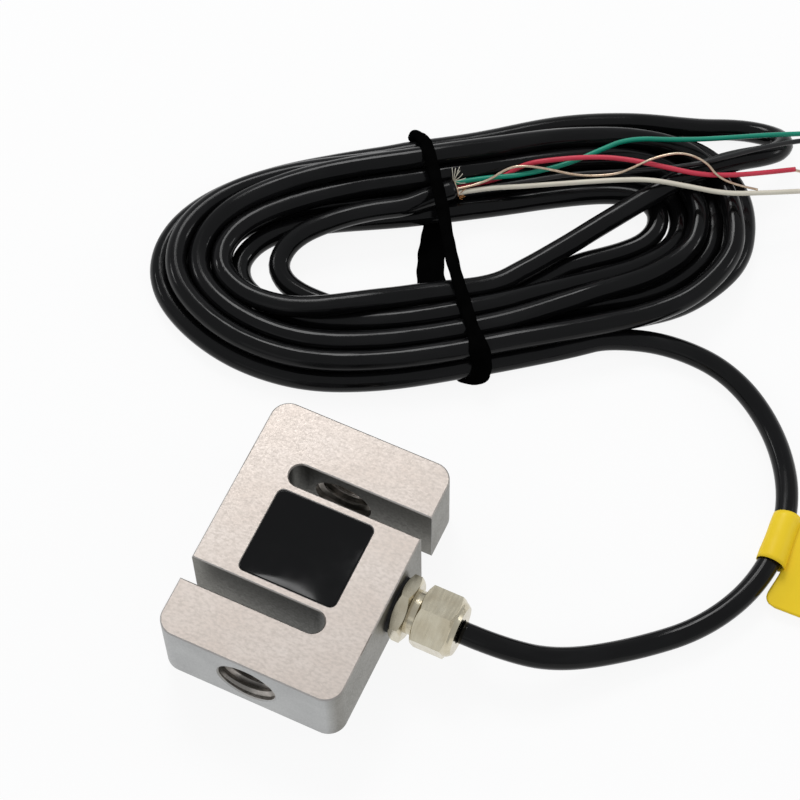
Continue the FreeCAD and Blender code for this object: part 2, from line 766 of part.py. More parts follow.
# ---- assembly ---------------------------------------------------------------------------
def build():
    nodes = {"load_cell_body": load_cell_body()}
    for name, side in (("upper", 1), ("lower", -1)):
        nodes["front_gauge_" + name] = gauge(side)
        nodes["back_gauge_" + name] = mirrored_below(gauge(side))
    nodes["front_terminal_board"] = terminal_board()
    nodes["back_terminal_board"] = mirrored_below(terminal_board())
    nodes["balance_resistor"] = resistor(RESISTOR_Y)
    nodes["span_resistor"] = resistor(-RESISTOR_Y)
    nodes["front_gauge_leads"] = gauge_leads()
    nodes["back_gauge_leads"] = mirrored_below(gauge_leads())
    nodes["link_wires"] = link_wires()
    for colour in CORE_QUARTERS:
        nodes[colour + "_core"] = core(colour)

    inside = [shape for name, shape in nodes.items() if name != "load_cell_body"]
    nodes["front_potting"] = potting(inside)
    nodes["back_potting"] = mirrored_below(potting([mirrored_below(shape) for shape in inside]))

    nodes["gland_body"] = gland_body()
    nodes["gland_gasket"] = gland_gasket()
    nodes["gland_grommet"] = gland_grommet()
    nodes["gland_washer"] = gland_washer()
    nodes["gland_nut"] = gland_nut()
    nodes["cable_jacket_end"] = cable_jacket_end()

    points = cable_points()
    nodes["cable"] = tube(points, CABLE_RADIUS, "cable")
    nodes["cable_tie"] = cable_tie()
    nodes["cable_coil"] = cable_coil(nodes["cable"], nodes["cable_tie"])
    nodes["cable_label"] = cable_label(points)
    for name in LEAD_ROUTES:
        radius = DRAIN_RADIUS if name == "drain_wire" else LEAD_RADIUS
        nodes[name] = tube(lead_points(name), radius, name)
    return nodes


os.makedirs("parts", exist_ok=True)
for node_name, node_shape in build().items():
    node_shape.exportStep("parts/" + node_name + ".step")
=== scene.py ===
import json
import math

import bpy
import numpy as np
from mathutils import Matrix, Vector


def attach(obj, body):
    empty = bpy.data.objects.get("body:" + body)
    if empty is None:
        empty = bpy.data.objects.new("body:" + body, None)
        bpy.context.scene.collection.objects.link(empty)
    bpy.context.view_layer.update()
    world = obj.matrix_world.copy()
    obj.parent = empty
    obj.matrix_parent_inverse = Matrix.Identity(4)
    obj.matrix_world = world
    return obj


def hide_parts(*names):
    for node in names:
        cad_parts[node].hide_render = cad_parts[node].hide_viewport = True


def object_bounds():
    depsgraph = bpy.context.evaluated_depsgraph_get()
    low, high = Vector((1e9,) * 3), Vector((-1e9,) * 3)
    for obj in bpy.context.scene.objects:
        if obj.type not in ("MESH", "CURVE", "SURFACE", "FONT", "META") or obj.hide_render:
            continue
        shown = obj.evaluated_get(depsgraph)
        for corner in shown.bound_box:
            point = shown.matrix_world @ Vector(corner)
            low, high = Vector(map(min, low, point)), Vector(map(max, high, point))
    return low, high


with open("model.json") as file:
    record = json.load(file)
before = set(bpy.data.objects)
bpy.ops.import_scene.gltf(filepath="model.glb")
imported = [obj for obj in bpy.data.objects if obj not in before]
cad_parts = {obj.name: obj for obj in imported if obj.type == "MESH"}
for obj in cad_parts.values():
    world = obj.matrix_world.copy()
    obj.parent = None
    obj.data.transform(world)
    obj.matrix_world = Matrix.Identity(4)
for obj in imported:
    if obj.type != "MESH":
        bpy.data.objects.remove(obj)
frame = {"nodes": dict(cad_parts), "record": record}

# An S type load cell lying on a pale table, with its cable wound into a tied hank.
# Places and sizes of the part are in millimetres and are turned into metres by MM. Those of
# the camera, the floor and the lamps are in metres.

CAD_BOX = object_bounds()
MM = 0.001
RNG = np.random.default_rng(11)

# The solids' own sizes.
BODY_WIDTH = 50.8
BODY_LENGTH = 71.8
BODY_THICKNESS = 23.4
SLOT_OFFSET = 17.65
SLOT_WIDTH = 6.3
END_THREAD_RADIUS = 8.0
POCKET_WIDTH = 27.0
POCKET_LENGTH = 24.6
POCKET_CORNER = 1.7
CABLE_DIAMETER = 6.0


def unit(v):
    """The vector at length 1."""
    v = np.asarray(v, float)
    return v / np.linalg.norm(v)


def smooth(t):
    """0 to 1 with a gentle start and end."""
    t = np.clip(t, 0.0, 1.0)
    return t * t * (3.0 - 2.0 * t)


# ---- camera ------------------------------------------
camera_data = bpy.data.cameras.new("camera")
camera_data.lens = 123.294
camera_data.sensor_width = 36.0
camera_data.clip_start = 0.01
camera = bpy.data.objects.new("camera", camera_data)
camera.location = (0.151005, -0.249610, 0.657441)
camera.rotation_euler = [math.radians(a) for a in (27.6607, 0.6101, 25.1705)]
bpy.context.scene.collection.objects.link(camera)
bpy.context.scene.camera = camera


# ---- materials ---------------------------------------
def add(tree, kind, inputs=None, **attributes):
    """A node, with its inputs set to plain values or linked to other nodes' sockets."""
    node = tree.nodes.new(kind)
    for key, value in attributes.items():
        setattr(node, key, value)
    for key, value in (inputs or {}).items():
        if isinstance(value, bpy.types.NodeSocket):
            tree.links.new(value, node.inputs[key])
        else:
            node.inputs[key].default_value = value
    return node


def principled(name, color, roughness, **sockets):
    """A material whose Principled shader has these plain values, and that shader."""
    material = bpy.data.materials.new(name)
    material.use_nodes = True
    shader = material.node_tree.nodes["Principled BSDF"]
    shader.inputs["Base Color"].default_value = (*color, 1.0)
    shader.inputs["Roughness"].default_value = roughness
    for key, value in sockets.items():
        shader.inputs[key.replace("_", " ")].default_value = value
    return material, shader


def noise(tree, vector, scale, detail=3.0, stretch=None):
    """Fractal noise from 0 to 1 over a vector in metres. scale is in features a metre."""
    if stretch:
        vector = add(tree, "ShaderNodeMapping", {"Vector": vector, "Scale": stretch}).outputs[0]
    inputs = {"Vector": vector, "Scale": scale, "Detail": detail}
    return add(tree, "ShaderNodeTexNoise", inputs).outputs["Fac"]


def remap(tree, value, low, high, to_low=0.0, to_high=1.0):
    """The value moved from one range to another, and held within it."""
    inputs = {0: value, 1: low, 2: high, 3: to_low, 4: to_high}
    return add(tree, "ShaderNodeMapRange", inputs, clamp=True).outputs[0]


def blend_color(tree, factor, a, b):
    """A mix of two colours, each a plain colour or a socket."""
    values = [v if isinstance(v, bpy.types.NodeSocket) else (*v, 1.0) for v in (a, b)]
    node = add(tree, "ShaderNodeMix", data_type="RGBA")
    ends = [s for s in node.inputs if s.type == "RGBA"]
    for socket, value in zip(ends, values):
        if isinstance(value, bpy.types.NodeSocket):
            tree.links.new(value, socket)
        else:
            socket.default_value = value
    factor_in = [s for s in node.inputs if s.type == "VALUE"][0]
    tree.links.new(factor, factor_in)
    return [s for s in node.outputs if s.type == "RGBA"][0]


def bump(tree, shader, height, distance, strength=1.0, below=None):
    """Wires a height to the shader's normal. below is the normal of a coarser bump."""
    inputs = {"Height": height, "Distance": distance, "Strength": strength}
    if below is not None:
        inputs["Normal"] = below
    normal = add(tree, "ShaderNodeBump", inputs).outputs[0]
    tree.links.new(normal, shader.inputs["Normal"])
    return normal


def object_place(tree):
    """Place on a solid, in metres from its own origin."""
    return add(tree, "ShaderNodeTexCoord").outputs["Object"]


def lay_place(tree):
    """Place on a tube: metres along it, then the two ways across it."""
    return add(tree, "ShaderNodeAttribute", attribute_name="lay").outputs["Vector"]


def maths(tree, operation, *values):
    """A Math node's result, from plain values or sockets."""
    node = add(tree, "ShaderNodeMath", dict(enumerate(values)), operation=operation)
    return node.outputs[0]


# How far past the true edges the slots' painted shade and the bores' darker colour reach, and how
# far out from the middle a slot's open end has all of its painted light.
MASK_MARGIN = 0.1
BORE_MARGIN = 0.05
SLOT_OPEN_END = 26.0


def steel_material():
    """Ground, nickel plated steel, mottled, with light and shade painted by which way a face looks.

    The big flat faces are painted lighter and warm, the ends and other upright faces cooler and
    darker, and the face with the gland darker still. The slot walls are painted dark as shade,
    and the bores are mottled darker and lighter.
    """
    material, shader = principled("body_steel", (0.78, 0.68, 0.60), 0.42, Metallic=1.0)
    tree = material.node_tree
    place = object_place(tree)
    mottle = remap(tree, noise(tree, place, 110.0, 6.0, stretch=(0.6, 1.0, 1.0)), 0.34, 0.68)
    specks = remap(tree, noise(tree, place, 1400.0, 4.0, stretch=(0.6, 1.0, 1.0)), 0.40, 0.68)
    # The big flat faces are painted lighter and warm, as lit; the upright faces cooler and darker, as
    # shaded.
    lit_top_color = blend_color(tree, mottle, (0.565, 0.497, 0.447), (0.600, 0.541, 0.497))
    lit_top_color = blend_color(tree, specks, lit_top_color, (0.495, 0.442, 0.400))
    shaded_side_color = blend_color(tree, mottle, (0.39, 0.395, 0.395), (0.46, 0.467, 0.465))
    # The face with the gland is painted darker, as painted shade.
    gland_face_shade = blend_color(tree, mottle, (0.19, 0.185, 0.165), (0.25, 0.243, 0.222))
    normal = add(tree, "ShaderNodeNewGeometry").outputs["Normal"]
    facing = add(tree, "ShaderNodeSeparateXYZ", {0: normal}).outputs
    spot = add(tree, "ShaderNodeSeparateXYZ", {0: place}).outputs
    # The upright faces' painted shade: cooler on the ends, darker on the face with the gland.
    side = blend_color(tree, remap(tree, facing["X"], 0.35, 0.85), shaded_side_color, gland_face_shade)
    # In a slot: near its middle plane, and within the body's two side faces.
    out_along = maths(tree, "ABSOLUTE", spot["Y"])
    from_slot = maths(tree, "SUBTRACT", out_along, SLOT_OFFSET * MM)
    from_slot = maths(tree, "ABSOLUTE", from_slot)
    in_slot = maths(tree, "LESS_THAN", from_slot, (SLOT_WIDTH / 2 + MASK_MARGIN) * MM)
    across = maths(tree, "ABSOLUTE", spot["X"])
    inside = maths(tree, "LESS_THAN", across, (BODY_WIDTH / 2 - MASK_MARGIN) * MM)
    in_slot = maths(tree, "MULTIPLY", in_slot, inside)
    # In a bore: near its axis, and further out than the slot's wall.
    up = maths(tree, "SUBTRACT", spot["Z"], BODY_THICKNESS / 2 * MM)
    squared = maths(tree, "ADD", maths(tree, "POWER", spot["X"], 2.0), maths(tree, "POWER", up, 2.0))
    in_bore = maths(tree, "LESS_THAN", squared, ((END_THREAD_RADIUS + BORE_MARGIN) * MM) ** 2)
    slot_wall = SLOT_OFFSET + SLOT_WIDTH / 2 + BORE_MARGIN
    past_slot = maths(tree, "GREATER_THAN", out_along, slot_wall * MM)
    in_bore = maths(tree, "MULTIPLY", in_bore, past_slot)
    # The slot walls' painted shade is lighter towards each slot's open end.
    depth = maths(tree, "MULTIPLY", spot["X"], maths(tree, "SIGN", spot["Y"]))
    slot_mouth_light = remap(tree, depth, 0.0, SLOT_OPEN_END * MM)
    # The slot walls are painted dark, as the shade inside the slots.
    cut = blend_color(tree, slot_mouth_light, (0.075, 0.074, 0.064), (0.19, 0.185, 0.165))
    stains = remap(tree, noise(tree, place, 170.0, 4.0), 0.45, 0.62)
    bored = blend_color(tree, stains, (0.26, 0.245, 0.225), (0.58, 0.54, 0.50))
    walls = blend_color(tree, in_bore, blend_color(tree, in_slot, side, cut), bored)
    upright = maths(tree, "ABSOLUTE", facing["Z"])
    outside = maths(tree, "SUBTRACT", 1.0, in_bore)
    flat = maths(tree, "MULTIPLY", remap(tree, upright, 0.55, 0.95), outside)
    tree.links.new(blend_color(tree, flat, walls, lit_top_color), shader.inputs["Base Color"])
    grain = noise(tree, place, 1900.0, 2.0)
    tree.links.new(remap(tree, grain, 0.3, 0.7, 0.36, 0.52), shader.inputs["Roughness"])
    wave = bump(tree, shader, noise(tree, place, 700.0, 3.0), 0.000012, 0.35)
    bump(tree, shader, grain, 0.000018, 0.8, below=wave)
    return material


def brass_material():
    """Nickel plated brass: satin, with the brushed grain of milled flats and faint stains."""
    material, shader = principled("nickel_brass", (0.60, 0.55, 0.42), 0.26, Metallic=1.0)
    tree = material.node_tree
    place = object_place(tree)
    stain = remap(tree, noise(tree, place, 200.0, 3.0), 0.35, 0.70)
    color = blend_color(tree, stain, (0.64, 0.59, 0.46), (0.53, 0.47, 0.345))
    tree.links.new(color, shader.inputs["Base Color"])
    marks = noise(tree, place, 1500.0, 3.0, stretch=(1.0, 0.12, 0.12))
    tree.links.new(remap(tree, marks, 0.3, 0.7, 0.18, 0.29), shader.inputs["Roughness"])
    bump(tree, shader, marks, 0.000012, 0.7)
    return material


def resin_material():
    """Glossy black potting resin with a slow ripple."""
    material, shader = principled(
        "potting", (0.0018, 0.0018, 0.002), 0.10, Specular_IOR_Level=0.19
    )
    tree = material.node_tree
    place = object_place(tree)
    haze = remap(tree, noise(tree, place, 130.0, 3.0), 0.35, 0.7, 0.07, 0.15)
    tree.links.new(haze, shader.inputs["Roughness"])
    bump(tree, shader, noise(tree, place, 110.0, 1.0), 0.0002, 0.25)
    return material


def insulation_material(name, color, shade):
    """Extruded plastic: a little colour drift along it and faint draw lines."""
    material, shader = principled(name, color, 0.32, Specular_IOR_Level=0.4)
    tree = material.node_tree
    place = lay_place(tree)
    drift = remap(tree, noise(tree, place, 60.0, 3.0), 0.35, 0.65)
    tree.links.new(blend_color(tree, drift, color, shade), shader.inputs["Base Color"])
    lines = noise(tree, place, 900.0, 2.0, stretch=(0.08, 1.0, 1.0))
    bump(tree, shader, lines, 0.00003, 0.7)
    return material


def jacket_material():
    """Glossy black PVC, whose draw marks break its highlights into thin streaks."""
    material, shader = principled(
        "cable_jacket", (0.0045, 0.0045, 0.0048), 0.16, Specular_IOR_Level=0.17
    )
    tree = material.node_tree
    place = lay_place(tree)
    streaks = noise(tree, place, 900.0, 3.0, stretch=(0.035, 1.0, 1.0))
    scuffs = noise(tree, place, 260.0, 4.0, stretch=(0.22, 1.0, 1.0))
    rough = remap(tree, scuffs, 0.40, 0.62, 0.08, 0.21)
    tree.links.new(rough, shader.inputs["Roughness"])
    dust = remap(tree, scuffs, 0.45, 0.8)
    color = blend_color(tree, dust, (0.0034, 0.0034, 0.0036), (0.0072, 0.0072, 0.0075))
    tree.links.new(color, shader.inputs["Base Color"])
    broad = bump(tree, shader, scuffs, 0.00012, 0.6)
    bump(tree, shader, streaks, 0.00012, 0.8, below=broad)
    return material


def plain_material(name, color, shade, roughness, scale=400.0, **sockets):
    """A solid finish with a slight mottle and grain."""
    material, shader = principled(name, color, roughness, **sockets)
    tree = material.node_tree
    place = object_place(tree)
    mottle = remap(tree, noise(tree, place, scale / 4.0, 3.0), 0.35, 0.68)
    tree.links.new(blend_color(tree, mottle, color, shade), shader.inputs["Base Color"])
    grain = noise(tree, place, scale, 3.0)
    low, high = roughness * 0.85, min(1.0, roughness * 1.15)
    tree.links.new(remap(tree, grain, 0.3, 0.7, low, high), shader.inputs["Roughness"])
    bump(tree, shader, grain, 0.00003, 0.7)
    return material


INSULATIONS = {
    "red_insulation": ((0.66, 0.045, 0.085), (0.56, 0.03, 0.06)),
    "green_insulation": ((0.0, 0.30, 0.19), (0.0, 0.24, 0.15)),
    "white_insulation": ((0.76, 0.72, 0.60), (0.68, 0.63, 0.52)),
    "black_insulation": ((0.008, 0.008, 0.009), (0.012, 0.012, 0.012)),
}
# Each plain finish's colour, the colour that mottles it, its roughness and what else it sets.
PLAIN = {
    "black_rubber": ((0.012, 0.012, 0.012), (0.02, 0.02, 0.02), 0.75, {}),
    "tie": ((0.0012,) * 3, (0.002,) * 3, 0.75, {"scale": 900.0, "Specular_IOR_Level": 0.0}),
    "label": (
        (0.97, 0.70, 0.028), (0.93, 0.65, 0.022), 0.45, {"scale": 300.0, "Specular_IOR_Level": 0.2}
    ),
    "tinned_copper": (
        (0.62, 0.45, 0.32), (0.75, 0.62, 0.48), 0.30, {"scale": 2500.0, "Metallic": 1.0}
    ),
    "gauge_foil": ((0.55, 0.33, 0.12), (0.48, 0.28, 0.10), 0.5, {}),
    "board": ((0.05, 0.22, 0.09), (0.04, 0.18, 0.07), 0.5, {}),
    "resistor": ((0.10, 0.22, 0.38), (0.08, 0.18, 0.32), 0.35, {}),
    "fine_wire": ((0.60, 0.28, 0.10), (0.52, 0.22, 0.08), 0.3, {"Metallic": 1.0}),
    "link_wire": ((0.65, 0.50, 0.10), (0.58, 0.44, 0.08), 0.45, {}),
}
MATERIALS = {
    "body_steel": steel_material(),
    "nickel_brass": brass_material(),
    "potting": resin_material(),
    "cable_jacket": jacket_material(),
}
for slot, (color, shade) in INSULATIONS.items():
    MATERIALS[slot] = insulation_material(slot, color, shade)
for slot, (color, shade, roughness, more) in PLAIN.items():
    MATERIALS[slot] = plain_material(slot, color, shade, roughness, **more)

SUBPARTS = {part["node"]: part["material_slot"] for part in frame["record"]["subparts"]}
for node, slot in SUBPARTS.items():
    solid = frame["nodes"][node]
    if not solid.data.materials:
        solid.data.materials.append(MATERIALS[slot])
    for holder in solid.material_slots:
        holder.material = MATERIALS[slot]


# ---- mesh helpers ------------------------------------
def piece(name, verts, faces, slot, lay=None, flat=False):
    """A mesh object in metres that rides on the root body and has that slot's finish."""
    mesh = bpy.data.meshes.new(name)
    mesh.from_pydata([tuple(v) for v in verts], [], faces)
    mesh.validate()
    mesh.materials.append(MATERIALS[slot])
    mesh.polygons.foreach_set("use_smooth", [not flat] * len(mesh.polygons))
    if lay is not None:
        values = mesh.attributes.new("lay", "FLOAT_VECTOR", "POINT")
        values.data.foreach_set("vector", np.asarray(lay, float).ravel())
    obj = bpy.data.objects.new(name, mesh)
    bpy.context.scene.collection.objects.link(obj)
    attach(obj, "root")
    return obj


def even(line, step):
    """The same line with points an even step apart."""
    along = np.r_[0.0, np.cumsum(np.linalg.norm(np.diff(line, axis=0), axis=1))]
    count = max(2, int(round(along[-1] / step)) + 1)
    wanted = np.linspace(0.0, along[-1], count)
    return np.stack([np.interp(wanted, along, line[:, k]) for k in range(3)], axis=1)


def nurbs_line(points, step):
    """Points an even step apart on the smooth curve that has these control points."""
    curve = bpy.data.curves.new("line", "CURVE")
    curve.dimensions = "3D"
    curve.resolution_u = 12
    spline = curve.splines.new("NURBS")
    spline.points.add(len(points) - 1)
    for point, place in zip(spline.points, points):
        point.co = (*place, 1.0)
    spline.order_u = 3
    spline.use_endpoint_u = True
    holder = bpy.data.objects.new("line", curve)
    mesh = bpy.data.meshes.new_from_object(holder)
    line = np.array([v.co[:] for v in mesh.vertices])
    bpy.data.objects.remove(holder)
    bpy.data.curves.remove(curve)
    bpy.data.meshes.remove(mesh)
    return even(line, step)


def frames(line):
    """Two ways across the line at every point, carried along it without twist."""
    tangent = np.gradient(line, axis=0)
    tangent /= np.linalg.norm(tangent, axis=1)[:, None]
    side = np.empty_like(line)
    first = np.cross(tangent[0], (0.0, 0.0, 1.0))
    side[0] = unit(first if np.linalg.norm(first) > 0.1 else (0.0, 1.0, 0.0))
    for i in range(1, len(line)):
        across = side[i - 1] - tangent[i] * np.dot(side[i - 1], tangent[i])
        side[i] = unit(across)
    return side, np.cross(tangent, side)


def bands(rings, sides, inward=False, base=0, closed=False):
    """Faces between rings of vertices that follow each other, and back to the first if closed."""
    faces = []
    for i in range(rings if closed else rings - 1):
        a, b = base + i * sides, base + (i + 1) % rings * sides
        for j in range(sides):
            k = (j + 1) % sides
            faces.append((a + j, b + j, b + k, a + k) if inward else (a + j, a + k, b + k, b + j))
    return faces


def tube_parts(line, radii, sides):
    """Vertices, faces and lay of a closed round tube along a line.

    radii is one radius, or one for each ring and side. lay is the place that lay_place reads.
    """
    side, up = frames(line)
    angle = np.arange(sides) * 2.0 * math.pi / sides
    ring = np.cos(angle)[None, :, None] * side[:, None, :]
    ring = ring + np.sin(angle)[None, :, None] * up[:, None, :]
    radii = np.broadcast_to(radii, (len(line), sides))
    verts = line[:, None, :] + ring * radii[:, :, None]
    along = np.r_[0.0, np.cumsum(np.linalg.norm(np.diff(line, axis=0), axis=1))]
    lay = np.empty((len(line), sides, 3))
    lay[:, :, 0] = along[:, None]
    lay[:, :, 1] = radii * np.cos(angle)
    lay[:, :, 2] = radii * np.sin(angle)
    faces = bands(len(line), sides)
    last = (len(line) - 1) * sides
    faces.append(tuple(range(sides - 1, -1, -1)))
    faces.append(tuple(range(last, last + sides)))
    return verts.reshape(-1, 3), faces, lay.reshape(-1, 3)


# How many rings of a tube lie between two lumps.
LUMP_SPACING = 9


def tube(name, line, radius, slot, sides=16, lumps=0.0):
    """A round tube along a line, its radius uneven by about lumps, a share of it."""
    knots = np.arange(0, len(line) + LUMP_SPACING, LUMP_SPACING)
    draws = RNG.normal(size=len(line) // LUMP_SPACING + 2)[: len(knots)]
    slow = np.interp(np.arange(len(line)), knots, draws)
    radii = (radius * (1.0 + lumps * slow))[:, None] * np.ones(sides)
    verts, faces, lay = tube_parts(line, radii, sides)
    return piece(name, verts, faces, slot, lay=lay)


def joined(parts):
    """One list of vertices, faces and lay from several tubes."""
    verts, faces, lay, base = [], [], [], 0
    for tube_verts, tube_faces, tube_lay in parts:
        verts.append(tube_verts)
        lay.append(tube_lay)
        faces += [tuple(i + base for i in face) for face in tube_faces]
        base += len(tube_verts)
    return np.concatenate(verts), faces, np.concatenate(lay)


# ---- cable -------------------------------------------
CABLE_EXIT = (43.2, 0.0, 11.7)
CABLE_ROUTE = [
    CABLE_EXIT, (54.0, 0.0, 11.7), (68.0, 4.4, 7.4), (83.5, 16.6, 3.6), (99.0, 31.2, 3.4),
    (107.4, 50.4, 4.1), (106.0, 72.6, 4.1), (94.6, 90.8, 3.4), (77.0, 103.0, 3.0),
    (58.2, 104.4, 3.0), (42.0, 99.0, 3.0),
]

# The hank has its own frame: u along it, v across it, both from its centre, and z up.
HANK_CENTRE = np.array((-3.9, 105.2, 0.0))
HANK_ANGLE = math.radians(37.0)
HANK_U = np.array((math.cos(HANK_ANGLE), math.sin(HANK_ANGLE), 0.0))
HANK_V = np.array((-math.sin(HANK_ANGLE), math.cos(HANK_ANGLE), 0.0))
JACKET_END = (1.5, 19.2, 9.0)


def hank(points):
    """Places in the table's frame, in mm, of points given as (u, v, z)."""
    points = np.atleast_2d(np.asarray(points, float))
    return HANK_CENTRE + points[:, :1] * HANK_U + points[:, 1:2] * HANK_V + points[:, 2:] * (0, 0, 1)


# Clockwise round the hank: the outer lane's centreline, and a point further in.
STATIONS = [
    ((28, -33), (20, -9)), ((8, -33.2), (4, -12)), ((-12, -33), (-12, -13)),
    ((-32, -31.5), (-26, -13)), ((-51, -27.0), (-38, -10)), ((-67, -17.5), (-44, -5)),
    ((-78.5, -4), (-47, 0)), ((-83.3, 10), (-48, 5)), ((-79, 22.5), (-46, 9)),
    ((-67, 31), (-40, 13)), ((-48, 35), (-32, 16)), ((-28, 35.3), (-22, 18)),
    ((-8, 33.8), (-8, 18)), ((14, 33.3), (12, 14)), ((36, 32.8), (28, 9)), ((57, 28.5), (38, 7)),
    ((72, 20.0), (44, 5)), ((78.5, 8), (46, 3)), ((79, -5), (44, 1)), ((73.5, -18.5), (40, -1)),
    ((59, -28.5), (34, -4)), ((44, -32), (27, -6.5)),
]
# Each turn's lane, as how far in from the outer one and how high, at places round it: the
# near bundle, the left end, the far bundle, the right end and where that joins the near one.
LANE_PLACES = (1.6, 7.0, 12.0, 17.2, 20.3)
TURNS = [
    [(0, 3.0), (0, 3.0), (0.3, 3.0), None, None],
    [(19.4, 8.4), (16.3, 8.4), (8.3, 8.2), (12.5, 7.2), (14.5, 7.8)],
    [(8.5, 8.2), (11.0, 8.6), (5.6, 13.4), (4.2, 7.2), (1.4, 7.4)],
    [(2.8, 8.2), (5.5, 8.9), (2.8, 8.2), (0, 3.0), None],
    [(5.7, 3.0), (6.5, 3.0), (5.8, 3.0), (8.4, 3.0), None],
    [(11.4, 3.0), (13.5, 3.0), (11.3, 3.0), (17.0, 3.0), (20.5, 6.0)],
    [(14.0, 8.2), (21.5, 3.0), (16.5, 3.0), (22.6, 7.4), (29.5, 6.4)],
    [(16.6, 3.0), (32.5, 3.0), (17.0, 9.3), None, None],
]
# The first turn runs out past the right end and comes back over the others on a slant.
LOOP_TURN = 0
LOOP_LEAVES = 14
LOOP_POINTS = [
    (38, 33.2, 3), (57, 30.8, 3), (75, 26.0, 3), (86, 23.8, 3), (94, 19.5, 4), (96, 14.5, 7),
    (91, 10.8, 9.5), (82, 9.8, 11.5), (72, 8.6, 12), (61, 6.5, 11.5), (49, 2.5, 10.5),
    (37, -2, 9.5), (25, -7.0, 8.8), (14, -11.2, 8.5),
]
# Where the last turn leaves its lane, and its way from there to the cable's cut end.
LAST_STATION = 12
END_APPROACH = [(-15.5, -2.8, 0.3), (-8.0, -1.2, 0.2), (0.0, 0.0, 0.0)]


def eased(places, values, x):
    """A value at x, eased from one place's value to the next one's."""
    i = int(np.clip(np.searchsorted(places, x) - 1, 0, len(places) - 2))
    t = smooth((x - places[i]) / (places[i + 1] - places[i]))
    return values[i] + (values[i + 1] - values[i]) * t


def drawn_turns():
    """The hank's centreline as it is laid out, before the turns settle on each other."""
    around = len(STATIONS)
    places, offsets, heights = [], [], []
    for n, lanes in enumerate(TURNS):
        for place, lane in zip(LANE_PLACES, lanes):
            if lane is not None:
                places.append(n * around + place)
                offsets.append(lane[0])
                heights.append(lane[1])
    points = []
    last = (len(TURNS) - 1) * around + LAST_STATION
    k = 1
    while k < last:
        if k == LOOP_TURN * around + LOOP_LEAVES:
            points += LOOP_POINTS
            k = (LOOP_TURN + 1) * around + 1
            continue
        outer, inner = (np.array(p, float) for p in STATIONS[k % around])
        spot = outer + unit(inner - outer) * eased(places, offsets, k)
        points.append((*spot, eased(places, heights, k)))
        k += 1
    points += [tuple(np.add(JACKET_END, step)) for step in END_APPROACH]
    return np.array(points)


def through(points, each=12):
    """A smooth line that passes through every point."""
    out = []
    for i in range(len(points) - 1):
        a, b = points[max(i - 1, 0)], points[i]
        c, d = points[i + 1], points[min(i + 2, len(points) - 1)]
        for t in np.arange(each) / each:
            cubic = (d - a + 3 * (b - c)) * t**3
            out.append(0.5 * (2 * b + (c - a) * t + (2 * a - 5 * b + 4 * c - d) * t * t + cubic))
    out.append(points[-1])
    return np.array(out)


def running_mean(values, width):
    """Each row's mean with as many rows before and after it as width says."""
    kernel = np.ones(2 * width + 1) / (2 * width + 1)
    padded = np.pad(values, ((width, width), (0, 0)), mode="edge")
    return np.stack([np.convolve(padded[:, k], kernel, "valid") for k in range(3)], axis=1)


# The turns settle as strings of beads, this far apart, until none lies in another turn.
BEAD = 3.0
SETTLE_STEPS = 240
SETTLE_LOOK_EVERY = 8
SETTLE_LOOK_FURTHER = 3.0
SETTLE_PUSHES = 4
# How far the beads sink in a step, and in the last steps, and what they keep of a side move.
SETTLE_SINK = 0.08
SETTLE_LAST_SINK = 0.016
SETTLE_LAST_SHARE = 0.8
SETTLE_SIDE_KEPT = 0.98
SETTLE_SMOOTHING = 4
TIE_U = -6.5
TIE_LIFT = 0.9
TIE_LIFT_SPREAD = 9.0


def lowest(beads):
    """The height of a bead that lies on the table, a little more where the tie is under it."""
    lift = TIE_LIFT * np.exp(-(((beads[:, 0] - TIE_U) / TIE_LIFT_SPREAD) ** 2))
    return CABLE_DIAMETER / 2 + lift


def settled(start, held):
    """The turns let down on each other. The first beads, and the last few, don't move."""
    beads = start.copy()
    count = len(beads)
    fixed = np.zeros(count, bool)
    fixed[:held] = True
    fixed[-3:] = True
    # Beads that are neighbours along the cable don't push each other.
    apart = int(3 * CABLE_DIAMETER / BEAD) + 1
    for step in range(SETTLE_STEPS):
        if step % SETTLE_LOOK_EVERY == 0:
            squared = ((beads[:, None, :] - beads[None, :, :]) ** 2).sum(-1)
            near = squared < (CABLE_DIAMETER + SETTLE_LOOK_FURTHER) ** 2
            one, other = np.nonzero(np.triu(near, apart))
        moved = beads - start
        early = step < SETTLE_LAST_SHARE * SETTLE_STEPS
        moved[:, 2] -= SETTLE_SINK if early else SETTLE_LAST_SINK
        moved[:, :2] *= SETTLE_SIDE_KEPT
        beads = start + moved
        for _ in range(SETTLE_PUSHES):
            gap = beads[one] - beads[other]
            distance = np.linalg.norm(gap, axis=1)
            share = np.where(
                distance < CABLE_DIAMETER,
                0.5 * (CABLE_DIAMETER - distance) / np.maximum(distance, 1e-6),
                0.0,
            )
            push = gap * share[:, None]
            touching = np.bincount(one, share > 0, count) + np.bincount(other, share > 0, count)
            for axis in range(3):
                shift = np.bincount(one, push[:, axis], count)
                shift -= np.bincount(other, push[:, axis], count)
                beads[:, axis] += shift / np.sqrt(np.maximum(1.0, touching))
            beads[:, 2] = np.maximum(beads[:, 2], lowest(beads))
            beads[fixed] = start[fixed]
        moved = beads - start
        moved = 0.5 * moved + 0.5 * running_mean(moved, SETTLE_SMOOTHING)
        moved[fixed] = 0.0
        beads = start + moved
        beads[:, 2] = np.maximum(beads[:, 2], lowest(beads))
    return beads


def hank_frame(points):
    """Points of the table's frame as (u, v, z)."""
    away = np.asarray(points, float) - HANK_CENTRE
    return np.stack([away @ HANK_U, away @ HANK_V, away[:, 2]], axis=1)


